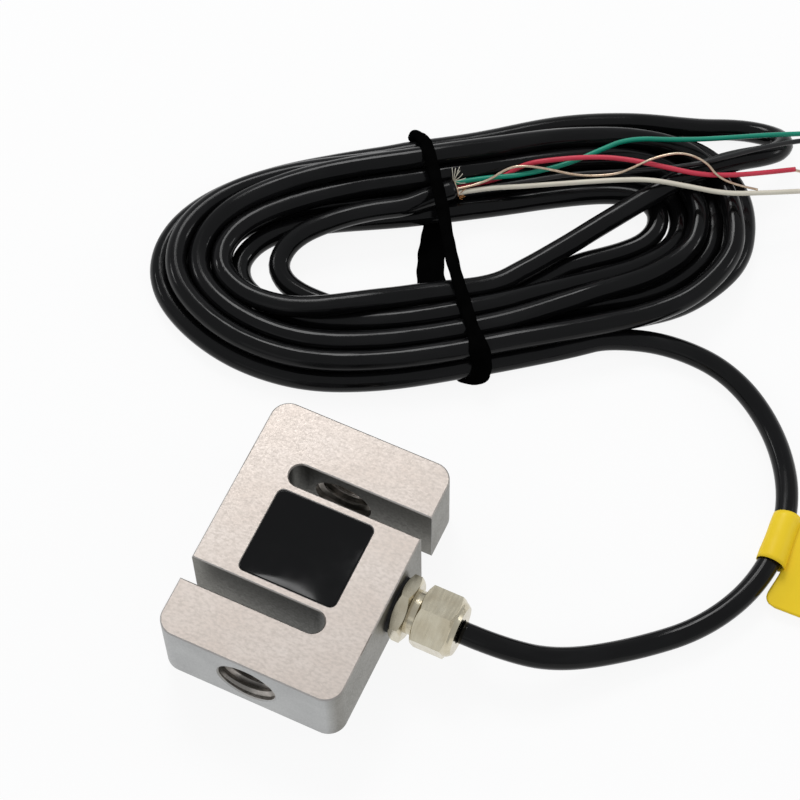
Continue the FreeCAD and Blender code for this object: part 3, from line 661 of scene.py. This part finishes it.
# The last of the free run settles with the turns, but doesn't move.
ARRIVAL_POINTS = 5
TURN_POINT_SPACING = 2
CABLE_STEP = 1.6
arrival = even(through(hank_frame(CABLE_ROUTE[-ARRIVAL_POINTS:])), BEAD)
turns = even(through(np.r_[hank_frame(CABLE_ROUTE[-1:]), drawn_turns()]), BEAD)
turns = settled(np.r_[arrival[:-1], turns], len(arrival))[len(arrival) :]
spaced = turns[TURN_POINT_SPACING:-1:TURN_POINT_SPACING]
cable_points = np.r_[np.array(CABLE_ROUTE), hank(spaced), hank(turns[-1:])]
cable_line = nurbs_line(cable_points * MM, CABLE_STEP * MM)
cable = tube("load_cable", cable_line, CABLE_DIAMETER / 2 * MM, "cable_jacket", lumps=0.004)
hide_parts("cable", "cable_coil")

# ---- leads -------------------------------------------
LEAD_DIAMETER = 1.4
DRAIN_DIAMETER = 0.7
LEAD_EXIT_RUN = 8.0
# Each lead's place in the jacket end as (across, up), its length, and the rest of its way.
LEADS = {
    "green": (
        (1.6, 0.6),
        0.109,
        [(1.5, 132, 11.4), (11.5, 139.5, 12.8), (18, 147, 13.4), (24, 154.5, 13.4)]
        + [(37.5, 160, 13.4), (49.5, 166.5, 13.2), (60.5, 173, 13), (75, 181, 12)],
    ),
    "red": (
        (0.9, -0.9),
        0.098,
        [(-3.5, 131, 8.6), (1, 134, 14.2), (10, 139, 15.6), (19.5, 144, 15.8)]
        + [(28, 146.5, 16.2), (37.5, 148, 16.6), (47, 149.5, 16.8), (55, 153.5, 16)]
        + [(63, 159, 14.8), (70, 164, 14)],
    ),
    "white": (
        (-1.6, 0.2),
        0.104,
        [(3, 129, 11), (15.5, 135, 12.6), (26, 140, 13.8), (35, 143, 15.8), (45, 145, 16.2)]
        + [(55.5, 148, 14.8), (64, 153, 13.6), (73, 158.5, 12.5), (80, 163, 11.5)],
    ),
    "black": (
        (-0.5, -1.5),
        0.109,
        [(2.5, 130.5, 10.9), (14, 137.5, 12.6), (26, 143.5, 13), (37.5, 148.5, 15)]
        + [(46, 153, 16.9), (52, 158.5, 16.6), (59, 165.5, 15.6), (68, 173.5, 14.2)]
        + [(76, 179, 13)],
    ),
}
DRAIN = (
    (-0.9, 1.4),
    0.09,
    [(-2.5, 130.5, 14.6), (1.5, 132.5, 15.8), (7.5, 135, 14.6), (16.5, 137, 13.8)]
    + [(25, 141, 14.2), (29, 143.5, 16.4), (34, 148.5, 18.6), (40.5, 153, 19.2)]
    + [(47.5, 153, 18.8), (52, 150.5, 17.4), (57.5, 151.5, 15.4), (63, 153.5, 14)],
)
# The red lead's bared strands, past the end of its insulation.
RED_BARE_TIP = [(68.5, 163.1, 14.15), (71.5, 164.3, 13.8), (74.0, 164.0, 13.5), (76.5, 163.2, 13.2)]
RED_BARE_DIAMETER = 0.8
LEAD_STEP = 0.8
STRAND_STEP = 0.6


def lead_line(offset, way, step):
    """A lead's centreline, from inside the jacket's end on."""
    u, v, z = JACKET_END
    start = (u, v + offset[0], z + offset[1])
    out = (u + LEAD_EXIT_RUN, v + offset[0], z + offset[1])
    return nurbs_line(np.r_[hank([start, out]), np.array(way, float)] * MM, step)


def strand(name, line, diameter):
    """A thin bundle of bare, tinned wires along a line."""
    return tube(name, line, diameter / 2 * MM, "tinned_copper", sides=10, lumps=0.04)


tip_line = nurbs_line(np.array(RED_BARE_TIP) * MM, STRAND_STEP * MM)
red_tip = strand("red_bare_tip", tip_line, RED_BARE_DIAMETER)
for colour, (offset, length, way) in LEADS.items():
    line = lead_line(offset, way, LEAD_STEP * MM)
    name = f"{colour}_insulated_lead"
    lead = tube(name, line, LEAD_DIAMETER / 2 * MM, f"{colour}_insulation", sides=12, lumps=0.01)
    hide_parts(f"{colour}_lead")

drain_line = lead_line(DRAIN[0], DRAIN[2], STRAND_STEP * MM)
drain = strand("drain_strand", drain_line, DRAIN_DIAMETER)
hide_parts("drain_wire")

# ---- tie ---------------------------------------------
TIE_THICKNESS = 2.2
TIE_TOP_WIDTH = 3.5
TIE_UNDER_WIDTH = 8.2
TIE_UNDER_THICKNESS = 0.8
TIE_TOE_WIDTH = 5.6
TIE_TOE_THICKNESS = 3.2
TIE_STEP = 0.6
TIE_SIDES = 16
TIE_SQUARENESS = 0.85
# The strap is pulled round the turns this near to TIE_U, and sinks this far into them.
TIE_GRIP = 2.4
TIE_SINK = 0.25
TIE_OFF_TABLE = 0.05
TIE_LOWEST = 0.02
# It is flat under the hank, up to this height, and wide past this place on the near side.
TIE_FLAT_BELOW = 3.0
TIE_FLAT_OVER = 2.2
TIE_TOE_PAST = -27.0
TIE_TOE_OVER = 8.0
TIE_SOFTENING = 9
# How far along the hank the tie lies, over it and under it, at ways across it.
TIE_OVER = ((-37, -20, -5, 12, 34), (-2.8, -4.1, -4.8, -3.7, -3.9))
TIE_UNDER = ((-36, -2.5, 17.5, 36), (-6.5, -10.6, -3.4, -5.0))


def hull(points):
    """The corners of a flat set of points' outline, anticlockwise."""
    points = sorted(map(tuple, points))

    def half(row):
        out = []
        for p in row:
            while len(out) > 1:
                a, b = np.subtract(out[-1], out[-2]), np.subtract(p, out[-2])
                if a[0] * b[1] - a[1] * b[0] > 0:
                    break
                out.pop()
            out.append(p)
        return out[:-1]

    return np.array(half(points) + half(points[::-1]))


def tie_loop():
    """The strap's centreline as (v, z), pulled tight round every turn at the tie."""
    close = turns[np.abs(turns[:, 0] - TIE_U) < TIE_GRIP]
    reach = CABLE_DIAMETER / 2 + TIE_THICKNESS / 2 - TIE_SINK
    angle = np.linspace(0, 2 * math.pi, 32, endpoint=False)
    ring = np.stack([np.cos(angle), np.sin(angle)], axis=1) * reach
    rim = (close[:, None, 1:] + ring[None]).reshape(-1, 2)
    rim[:, 1] = np.maximum(rim[:, 1], TIE_UNDER_THICKNESS / 2 + TIE_OFF_TABLE)
    corners = hull(rim)
    closed = np.r_[corners, corners[:1]]
    flat = np.c_[np.zeros(len(closed)), closed]
    return even(flat, TIE_STEP)[:-1, 1:]


def tie_parts(loop):
    """The strap: a soft round cord over the hank, flattened where it lies under it."""
    count = len(loop)
    ahead = np.roll(loop, -1, axis=0) - np.roll(loop, 1, axis=0)
    ahead /= np.linalg.norm(ahead, axis=1)[:, None]
    outward = np.stack([ahead[:, 1], -ahead[:, 0]], axis=1)
    under = smooth((TIE_FLAT_BELOW - loop[:, 1]) / TIE_FLAT_OVER)
    toe = smooth((TIE_TOE_PAST - loop[:, 0]) / TIE_TOE_OVER) * (1 - under)
    width = TIE_TOP_WIDTH + (TIE_UNDER_WIDTH - TIE_TOP_WIDTH) * under
    width = width + (TIE_TOE_WIDTH - TIE_TOP_WIDTH) * toe
    thick = TIE_THICKNESS + (TIE_UNDER_THICKNESS - TIE_THICKNESS) * under
    thick = thick + (TIE_TOE_THICKNESS - TIE_THICKNESS) * toe
    along = np.arange(count) * TIE_STEP
    width = width * (1 + 0.04 * np.sin(along / 2.3) + 0.03 * np.sin(along / 0.9 + 1.0))
    over_u = np.interp(loop[:, 0], *TIE_OVER)
    under_u = np.interp(loop[:, 0], *TIE_UNDER)
    centre = over_u * (1 - under) + under_u * under
    padded = np.pad(centre, TIE_SOFTENING, mode="wrap")
    window = 2 * TIE_SOFTENING + 1
    centre = np.convolve(padded, np.ones(window) / window, "valid")
    sides = TIE_SIDES
    angle = (np.arange(sides) + 0.5) * 2 * math.pi / sides
    across = np.sign(np.cos(angle)) * np.abs(np.cos(angle)) ** TIE_SQUARENESS
    proud = np.sign(np.sin(angle)) * np.abs(np.sin(angle)) ** TIE_SQUARENESS
    verts = np.empty((count, sides, 3))
    verts[:, :, 0] = centre[:, None] + across[None] * width[:, None] / 2
    for k in range(2):
        verts[:, :, 1 + k] = loop[:, k, None] + proud[None] * thick[:, None] / 2 * outward[:, k, None]
    verts = verts.reshape(-1, 3)
    verts[:, 2] = np.maximum(verts[:, 2], TIE_LOWEST)
    return verts, bands(count, sides, closed=True)


def ball(middle, radii, rows=12, columns=20):
    """An uneven ball's vertices and faces."""
    middle, radii = np.array(middle, float), np.array(radii, float)
    verts = [middle + (0, 0, radii[2])]
    for i in range(1, rows):
        polar = math.pi * i / rows
        for j in range(columns):
            turn = 2 * math.pi * j / columns
            swell = 1 + 0.06 * math.sin(3 * turn + 2 * polar) + 0.04 * math.sin(5 * polar)
            way = (math.sin(polar) * math.cos(turn), math.sin(polar) * math.sin(turn), math.cos(polar))
            verts.append(middle + radii * way * swell)
    verts.append(middle - (0, 0, radii[2]))
    end = len(verts) - 1
    faces = [(0, 1 + j, 1 + (j + 1) % columns) for j in range(columns)]
    faces += bands(rows - 1, columns, inward=True, base=1)
    a = 1 + (rows - 2) * columns
    faces += [(a + j, end, a + (j + 1) % columns) for j in range(columns)]
    return np.array(verts), faces


tie_section = tie_loop()
tie_verts, tie_faces = tie_parts(tie_section)
tie = piece("tie_strap", hank(tie_verts) * MM, tie_faces, "tie")
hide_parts("cable_tie")
# The knotted end stands out where the strap turns down behind the far turns.
KNOB_SLANT = 0.8
KNOB_SHIFT = (-1.1, 0.4, -0.2)
KNOB_RADII = (2.185, 1.9, 1.9)
far_top = tie_section[np.argmax(tie_section[:, 0] + KNOB_SLANT * tie_section[:, 1])]
knob_place = np.add((TIE_OVER[1][-1], *far_top), KNOB_SHIFT)
knob_verts, knob_faces = ball(knob_place, KNOB_RADII)
tie_knob = piece("tie_knob", hank(knob_verts) * MM, knob_faces, "tie")

# ---- the cable's cut end -----------------------------
END_POINT = hank(JACKET_END)[0]
END_WAY = unit(hank(turns[-1:])[0] - hank(turns[-4:-3])[0])
END_SIDE = unit(np.cross((0, 0, 1), END_WAY))
END_UP = np.cross(END_WAY, END_SIDE)


def end_place(along, across, up):
    """A place in the table's frame, in mm, near the cable's cut end."""
    return END_POINT + along * END_WAY + across * END_SIDE + up * END_UP


# Each strand of the cut screen as its root's turn round the cable, and where it curls to.
SCREEN_STRANDS = [
    (70, (0.8, 1.2, 3.6), (1.6, 2.2, 5.4)),
    (80, (1.2, 1.8, 3.4), (2.6, 3.4, 5.0)),
    (88, (0.4, 2.4, 3.0), (0.8, 4.4, 4.2)),
    (60, (1.6, 1.0, 3.0), (3.0, 1.8, 3.6)),
    (100, (1.0, 2.6, 2.6), (2.0, 4.6, 3.0)),
    (48, (1.8, 0.4, 3.0), (3.4, 0.4, 3.2)),
    (112, (1.6, 2.8, 2.0), (3.0, 3.6, 2.6)),
    (125, (1.2, 2.8, 1.2), (2.2, 3.4, 1.2)),
    (35, (1.4, -0.6, 2.8), (2.6, -1.2, 3.4)),
]
COPPER_STRANDS = [
    (-60, (0.9, -1.6, -2.4), (1.8, -2.0, -1.8)),
    (-80, (0.6, -2.6, -1.6), (1.2, -3.2, -1.2)),
    (-95, (1.0, -2.9, -0.8), (2.2, -2.9, -0.6)),
    (-110, (0.5, -2.9, 0.4), (1.3, -3.3, 1.0)),
    (-45, (1.3, -1.0, -2.6), (2.8, -1.2, -2.2)),
    (-130, (0.9, -2.4, 1.4), (2.4, -2.0, 1.8)),
]
WISP_DIAMETER = 0.22
WISP_STEP = 0.3
# A strand's root and where it bends at the lip: along the cable, and out from its middle.
WISP_ROOT = (-0.4, 2.3)
WISP_LIP = (0.35, 2.4)
# The cut end's rings, as (along, radius), and the radius past which they are uneven.
END_RINGS = [(-0.5, 2.55), (0.25, 2.5), (0.45, 2.3), (0.4, 1.6), (0.55, 0.8)]
END_UNEVEN_PAST = 2.0


def wisps(strands):
    """Fine strands that start inside the cable's end and curl out of it."""
    parts = []
    for turn, middle, tip in strands:
        turn = math.radians(turn)
        across, up = math.sin(turn), math.cos(turn)
        places = [(along, across * out, up * out) for along, out in (WISP_ROOT, WISP_LIP)]
        points = [end_place(*place) for place in (*places, middle, tip)]
        line = nurbs_line(np.array(points) * MM, WISP_STEP * MM)
        parts.append(tube_parts(line, WISP_DIAMETER / 2 * MM, 6))
    return joined(parts)


def end_disc():
    """The filler and screen that show in the cut end, a little proud of the jacket."""
    sides = 32
    verts = []
    for along, radius in END_RINGS:
        for j in range(sides):
            turn = 2 * math.pi * j / sides
            rough = 1 + 0.05 * math.sin(7 * turn) + 0.04 * math.sin(11 * turn + 1)
            reach = radius * (rough if radius > END_UNEVEN_PAST else 1)
            verts.append(end_place(along, reach * math.sin(turn), reach * math.cos(turn)))
    faces = bands(len(END_RINGS), sides, inward=True)
    faces.append(tuple(range(sides)))
    last = (len(END_RINGS) - 1) * sides
    faces.append(tuple(range(last + sides - 1, last - 1, -1)))
    return np.array(verts), faces


disc_verts, disc_faces = end_disc()
cut_end = piece("cable_cut_end", disc_verts * MM, disc_faces, "tinned_copper")
wisp_verts, wisp_faces, wisp_lay = wisps(SCREEN_STRANDS)
screen = piece("screen_strands", wisp_verts, wisp_faces, "white_insulation", lay=wisp_lay)
wisp_verts, wisp_faces, wisp_lay = wisps(COPPER_STRANDS)
copper = piece("copper_strands", wisp_verts, wisp_faces, "fine_wire", lay=wisp_lay)

# ---- label -------------------------------------------
LABEL_RUN = 5
SLEEVE_LENGTH = 14.4
SLEEVE_RADII = (3.75, 3.6)
LABEL_THICKNESS = 0.28
FLAG_REACH = 24.0
FLAG_LENGTH = 25.0
FLAG_CORNER = 3.2
FLAG_TOP_GAP = 0.2
# The sheet's inner edge: beside the sleeve, and how far it comes in just below and lower down.
FLAG_INNER = 3.2
FLAG_INNER_STEP = 0.1
FLAG_INNER_LEAN = 1.4
# Up and down in the sheet: all of it, its outer part, its waves and its far corner.
FLAG_SAG = 0.6
FLAG_DROOP = 1.2
FLAG_WAVE = 0.9
FLAG_CURL = 1.6


def label_place(points):
    """Places on the table of points given along the label: out from the cable, along, up."""
    start, end = (np.array(CABLE_ROUTE[LABEL_RUN + k]) for k in range(2))
    along = unit((end - start) * (1, 1, 0))
    out = np.array((along[1], -along[0], 0.0))
    middle = (start + end) / 2
    points = np.atleast_2d(np.asarray(points, float))
    up = points[:, 2:] * np.array((0.0, 0.0, 1.0))
    return middle + points[:, :1] * out + points[:, 1:2] * along + up


def sleeve_parts():
    """A loose tube of vinyl, a little oval and wider at its lower mouth."""
    rows, sides = 12, 48
    verts = []
    for skin in (0.0, -LABEL_THICKNESS):
        for i in range(rows + 1):
            t = i / rows
            along = (t - 0.5) * SLEEVE_LENGTH
            swell = 1.06 - 0.07 * t + 0.015 * math.sin(9 * t)
            for j in range(sides):
                turn = 2 * math.pi * j / sides
                lip = 0.35 * math.cos(turn - 0.6) * (2 * t - 1)
                x = (SLEEVE_RADII[0] * swell + skin) * math.cos(turn)
                z = (SLEEVE_RADII[1] * swell + skin) * math.sin(turn)
                verts.append((x, along + lip, z))
    ring = rows + 1
    faces = bands(ring, sides, inward=True) + bands(ring, sides, base=ring * sides)
    for i, flip in ((0, False), (rows, True)):
        for j in range(sides):
            k = (j + 1) % sides
            a, c = i * sides, (ring + i) * sides
            quad = (a + j, a + k, c + k, c + j)
            faces.append(quad[::-1] if flip else quad)
    return np.array(verts), faces


def flag_parts():
    """The label's two ends stuck together: a sheet with round corners and a gentle curl."""
    rows, columns = 40, 34
    top = SLEEVE_LENGTH / 2
    verts = []
    for side in (1, -1):
        for i in range(rows + 1):
            t = i / rows
            along = top - FLAG_TOP_GAP - FLAG_LENGTH * t
            # Rounded corners: near its ends the sheet is narrower.
            tuck = max(0.0, FLAG_CORNER - FLAG_LENGTH * min(t, 1 - t))
            tuck = FLAG_CORNER - math.sqrt(max(0.0, FLAG_CORNER**2 - tuck**2))
            below = smooth((-along - top + 0.6) / 1.4)
            lean = FLAG_INNER_LEAN * below * smooth((-along - top) / 9.0)
            inner = FLAG_INNER - FLAG_INNER_STEP * below - lean
            inner += tuck * (1.0 if t > 0.5 else 0.0)
            outer = FLAG_REACH - tuck
            for j in range(columns + 1):
                x = inner + (outer - inner) * j / columns
                droop = -FLAG_SAG - FLAG_DROOP * smooth((x - 3.0) / 12.0)
                droop += FLAG_WAVE * math.sin(x / 9.0 + along / 11.0)
                curl = FLAG_CURL * smooth((along - 1.0) / 6.0) * smooth((x - 4.0) / 8.0)
                z = droop + curl + side * LABEL_THICKNESS
                verts.append((x, along, z))
    faces = []
    wide = columns + 1
    sheet = (rows + 1) * wide
    for i in range(rows):
        for j in range(columns):
            a = i * wide + j
            faces.append((a, a + wide, a + wide + 1, a + 1))
            b = a + sheet
            faces.append((b, b + 1, b + wide + 1, b + wide))
    edge = list(range(columns))
    edge += [i * wide + columns for i in range(rows)]
    edge += [rows * wide + j for j in range(columns, 0, -1)]
    edge += [i * wide for i in range(rows, 0, -1)]
    for k, a in enumerate(edge):
        b = edge[(k + 1) % len(edge)]
        faces.append((a, b, b + sheet, a + sheet))
    return np.array(verts), faces


sleeve_verts, sleeve_faces = sleeve_parts()
flag_verts, flag_faces = flag_parts()
flag_faces = [tuple(i + len(sleeve_verts) for i in face) for face in flag_faces]
label_verts = label_place(np.r_[sleeve_verts, flag_verts]) * MM
label = piece("blank_label", label_verts, sleeve_faces + flag_faces, "label")
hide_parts("cable_label")

# ---- potting -----------------------------------------
POTTING_DEPTH = 9.6
# The resin's share of the pocket's width, and the shares of that at which its rings lie.
POTTING_FILL = 0.9985
RING_SHARES = np.r_[1.0, 0.985, np.linspace(0.96, 0.06, 26)]
RIPPLE = 0.05
MENISCUS_LIP = 0.08
MENISCUS_DROP = 1.15
MENISCUS_REACH = 5.2


def pocket_outline(count=128):
    """Points round the pocket's rounded rectangle."""
    half = np.array((POCKET_WIDTH, POCKET_LENGTH)) / 2 - POCKET_CORNER
    points = []
    for corner, (sx, sy) in enumerate(((1, 1), (-1, 1), (-1, -1), (1, -1))):
        for k in range(9):
            turn = math.pi / 2 * (corner + k / 8)
            way = np.array((math.cos(turn), math.sin(turn)))
            points.append(half * (sx, sy) + POCKET_CORNER * way)
    closed = np.array(points + points[:1])
    step = 4 * sum(half + POCKET_CORNER) / count
    return even(np.c_[closed, np.zeros(len(closed))], step)[:-1, :2]


def dish(points):
    """How far down a smooth dish points lie: none at the pocket's walls, all in its middle."""
    half = np.array((POCKET_WIDTH, POCKET_LENGTH)) / 2
    rise = np.cosh(points / MENISCUS_REACH) / np.cosh(half / MENISCUS_REACH)
    return np.prod(1 - np.minimum(rise, 1.0), axis=1)


def potting_piece(name, node, side):
    """Resin filling a pocket: it climbs the walls a little and dips in the middle."""
    outline = pocket_outline() * POTTING_FILL
    face = BODY_THICKNESS / 2
    verts = [np.c_[outline, np.full(len(outline), face - POTTING_DEPTH)]]
    for share in RING_SHARES:
        spots = outline * share
        depth = dish(spots)
        drop = MENISCUS_LIP + MENISCUS_DROP * depth
        ripple = RIPPLE * np.sin(spots[:, 0] / 3.1 + 0.8) * np.sin(spots[:, 1] / 3.7 - 0.4)
        verts.append(np.c_[spots, face - drop + ripple * depth])
    around = len(outline)
    verts = np.concatenate(verts)
    faces = [tuple(range(around))]
    faces += bands(len(RING_SHARES) + 1, around, inward=True)
    last = len(RING_SHARES) * around
    faces.append(tuple(range(last + around - 1, last - 1, -1)))
    if side > 0:
        faces = [f[::-1] for f in faces]
    verts[:, 2] *= side
    verts[:, 2] += face
    filled = piece(name, verts * MM, faces, "potting")
    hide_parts(node)


potting_piece("front_resin", "front_potting", 1)
potting_piece("back_resin", "back_potting", -1)

# ---- threads -----------------------------------------
THREAD_PITCH = 2.0
THREAD_CREST_RADIUS = 6.9
THREAD_MARGIN = 0.5
THREAD_STEPS = 64
THREAD_RUNOUT_STEPS = 28
# Half the ridge's width at its crest and at its root, which is just inside the steel.
CREST_HALF_WIDTH = 0.12
ROOT_HALF_WIDTH = 0.95
ROOT_RADIUS = 8.03


def thread_piece(name, side):
    """The M16 thread's ridge: a helix of triangular section that stands in from the bore."""
    start = SLOT_OFFSET + SLOT_WIDTH / 2 + THREAD_MARGIN + THREAD_PITCH / 2
    end = BODY_LENGTH / 2 - THREAD_MARGIN - THREAD_PITCH / 2
    steps = int((end - start) / THREAD_PITCH * THREAD_STEPS)
    ridge = END_THREAD_RADIUS - THREAD_CREST_RADIUS
    verts = []
    for i in range(steps + 1):
        turn = 2 * math.pi * i / THREAD_STEPS
        along = start + THREAD_PITCH * i / THREAD_STEPS
        runout = smooth(min(i, steps - i) / THREAD_RUNOUT_STEPS)
        crest = END_THREAD_RADIUS - ridge * float(runout)
        for shift, radius in (
            (-ROOT_HALF_WIDTH, ROOT_RADIUS),
            (-CREST_HALF_WIDTH, crest),
            (CREST_HALF_WIDTH, crest),
            (ROOT_HALF_WIDTH, ROOT_RADIUS),
        ):
            verts.append((
                radius * math.cos(turn) * side,
                (along + shift) * side,
                BODY_THICKNESS / 2 + radius * math.sin(turn),
            ))
    faces = bands(steps + 1, 4, inward=True)
    faces.append((3, 2, 1, 0))
    faces.append(tuple(4 * steps + j for j in range(4)))
    return piece(name, np.array(verts) * MM, faces, "body_steel", flat=True)


thread_piece("far_thread_ridge", 1)
thread_piece("near_thread_ridge", -1)

# ---- table and lights --------------------------------
REACH = 3.0
# The table top is this far under the part, so that the two never share a face.
FLOOR_GAP = 0.00002
# What the camera sees of the table is mostly plain white, with the shadows faint in it.
SHADOW_SHARE = 0.10
floor_mesh = bpy.data.meshes.new("table_top")
corners = [(-REACH, -REACH, 0), (REACH, -REACH, 0), (REACH, REACH, 0), (-REACH, REACH, 0)]
floor_mesh.from_pydata(corners, [], [(0, 1, 2, 3)])
floor_material, floor_shader = principled(
    "table_top", (0.92, 0.92, 0.92), 0.7, Specular_IOR_Level=0.1
)
tree = floor_material.node_tree
ray = add(tree, "ShaderNodeLightPath").outputs
seen = maths(tree, "MAXIMUM", ray["Is Camera Ray"], ray["Is Glossy Ray"])
seen = maths(tree, "MAXIMUM", seen, ray["Is Transmission Ray"])
share = maths(tree, "MULTIPLY", seen, 1.0 - SHADOW_SHARE)
white = add(tree, "ShaderNodeEmission", {"Color": (1.0, 1.0, 1.0, 1.0), "Strength": 1.0})
mixed = add(tree, "ShaderNodeMixShader", {0: share, 1: floor_shader.outputs[0], 2: white.outputs[0]})
tree.links.new(mixed.outputs[0], tree.nodes["Material Output"].inputs["Surface"])
floor_mesh.materials.append(floor_material)
floor = bpy.data.objects.new("table_top", floor_mesh)
floor.location.z = min(0.0, CAD_BOX[0][2]) - FLOOR_GAP
bpy.context.scene.collection.objects.link(floor)

world = bpy.data.worlds.new("studio")
world.use_nodes = True
bpy.context.scene.world = world
background = world.node_tree.nodes["Background"]
background.inputs["Color"].default_value = (0.95, 0.97, 1.0, 1.0)
background.inputs["Strength"].default_value = 0.60

# What the lamps aim at.
MIDDLE = (0.02, 0.05, 0.01)


def lamp(name, place, size, power):
    """A white, rectangular lamp aimed at the part. Sizes are in metres, power in watts."""
    data = bpy.data.lights.new(name, "AREA")
    data.shape = "RECTANGLE"
    data.size, data.size_y = size
    data.energy = power
    obj = bpy.data.objects.new(name, data)
    obj.location = place
    z = unit(np.subtract(place, MIDDLE))
    x = unit(np.cross((0.0, 0.0, 1.0), z))
    y = np.cross(z, x)
    obj.rotation_euler = Matrix(np.stack([x, y, z], axis=1).tolist()).to_euler()
    bpy.context.scene.collection.objects.link(obj)


lamp("key", (-0.56, 0.82, 1.06), (0.50, 0.42), 6.2)
lamp("front", (-0.20, -1.10, 0.62), (0.60, 0.40), 0.22)
lamp("left", (-1.25, -0.10, 0.62), (0.40, 0.10), 1.4)
lamp("right", (1.15, 0.75, 0.55), (0.40, 0.10), 1.6)

bpy.context.scene.view_settings.view_transform = "Standard"
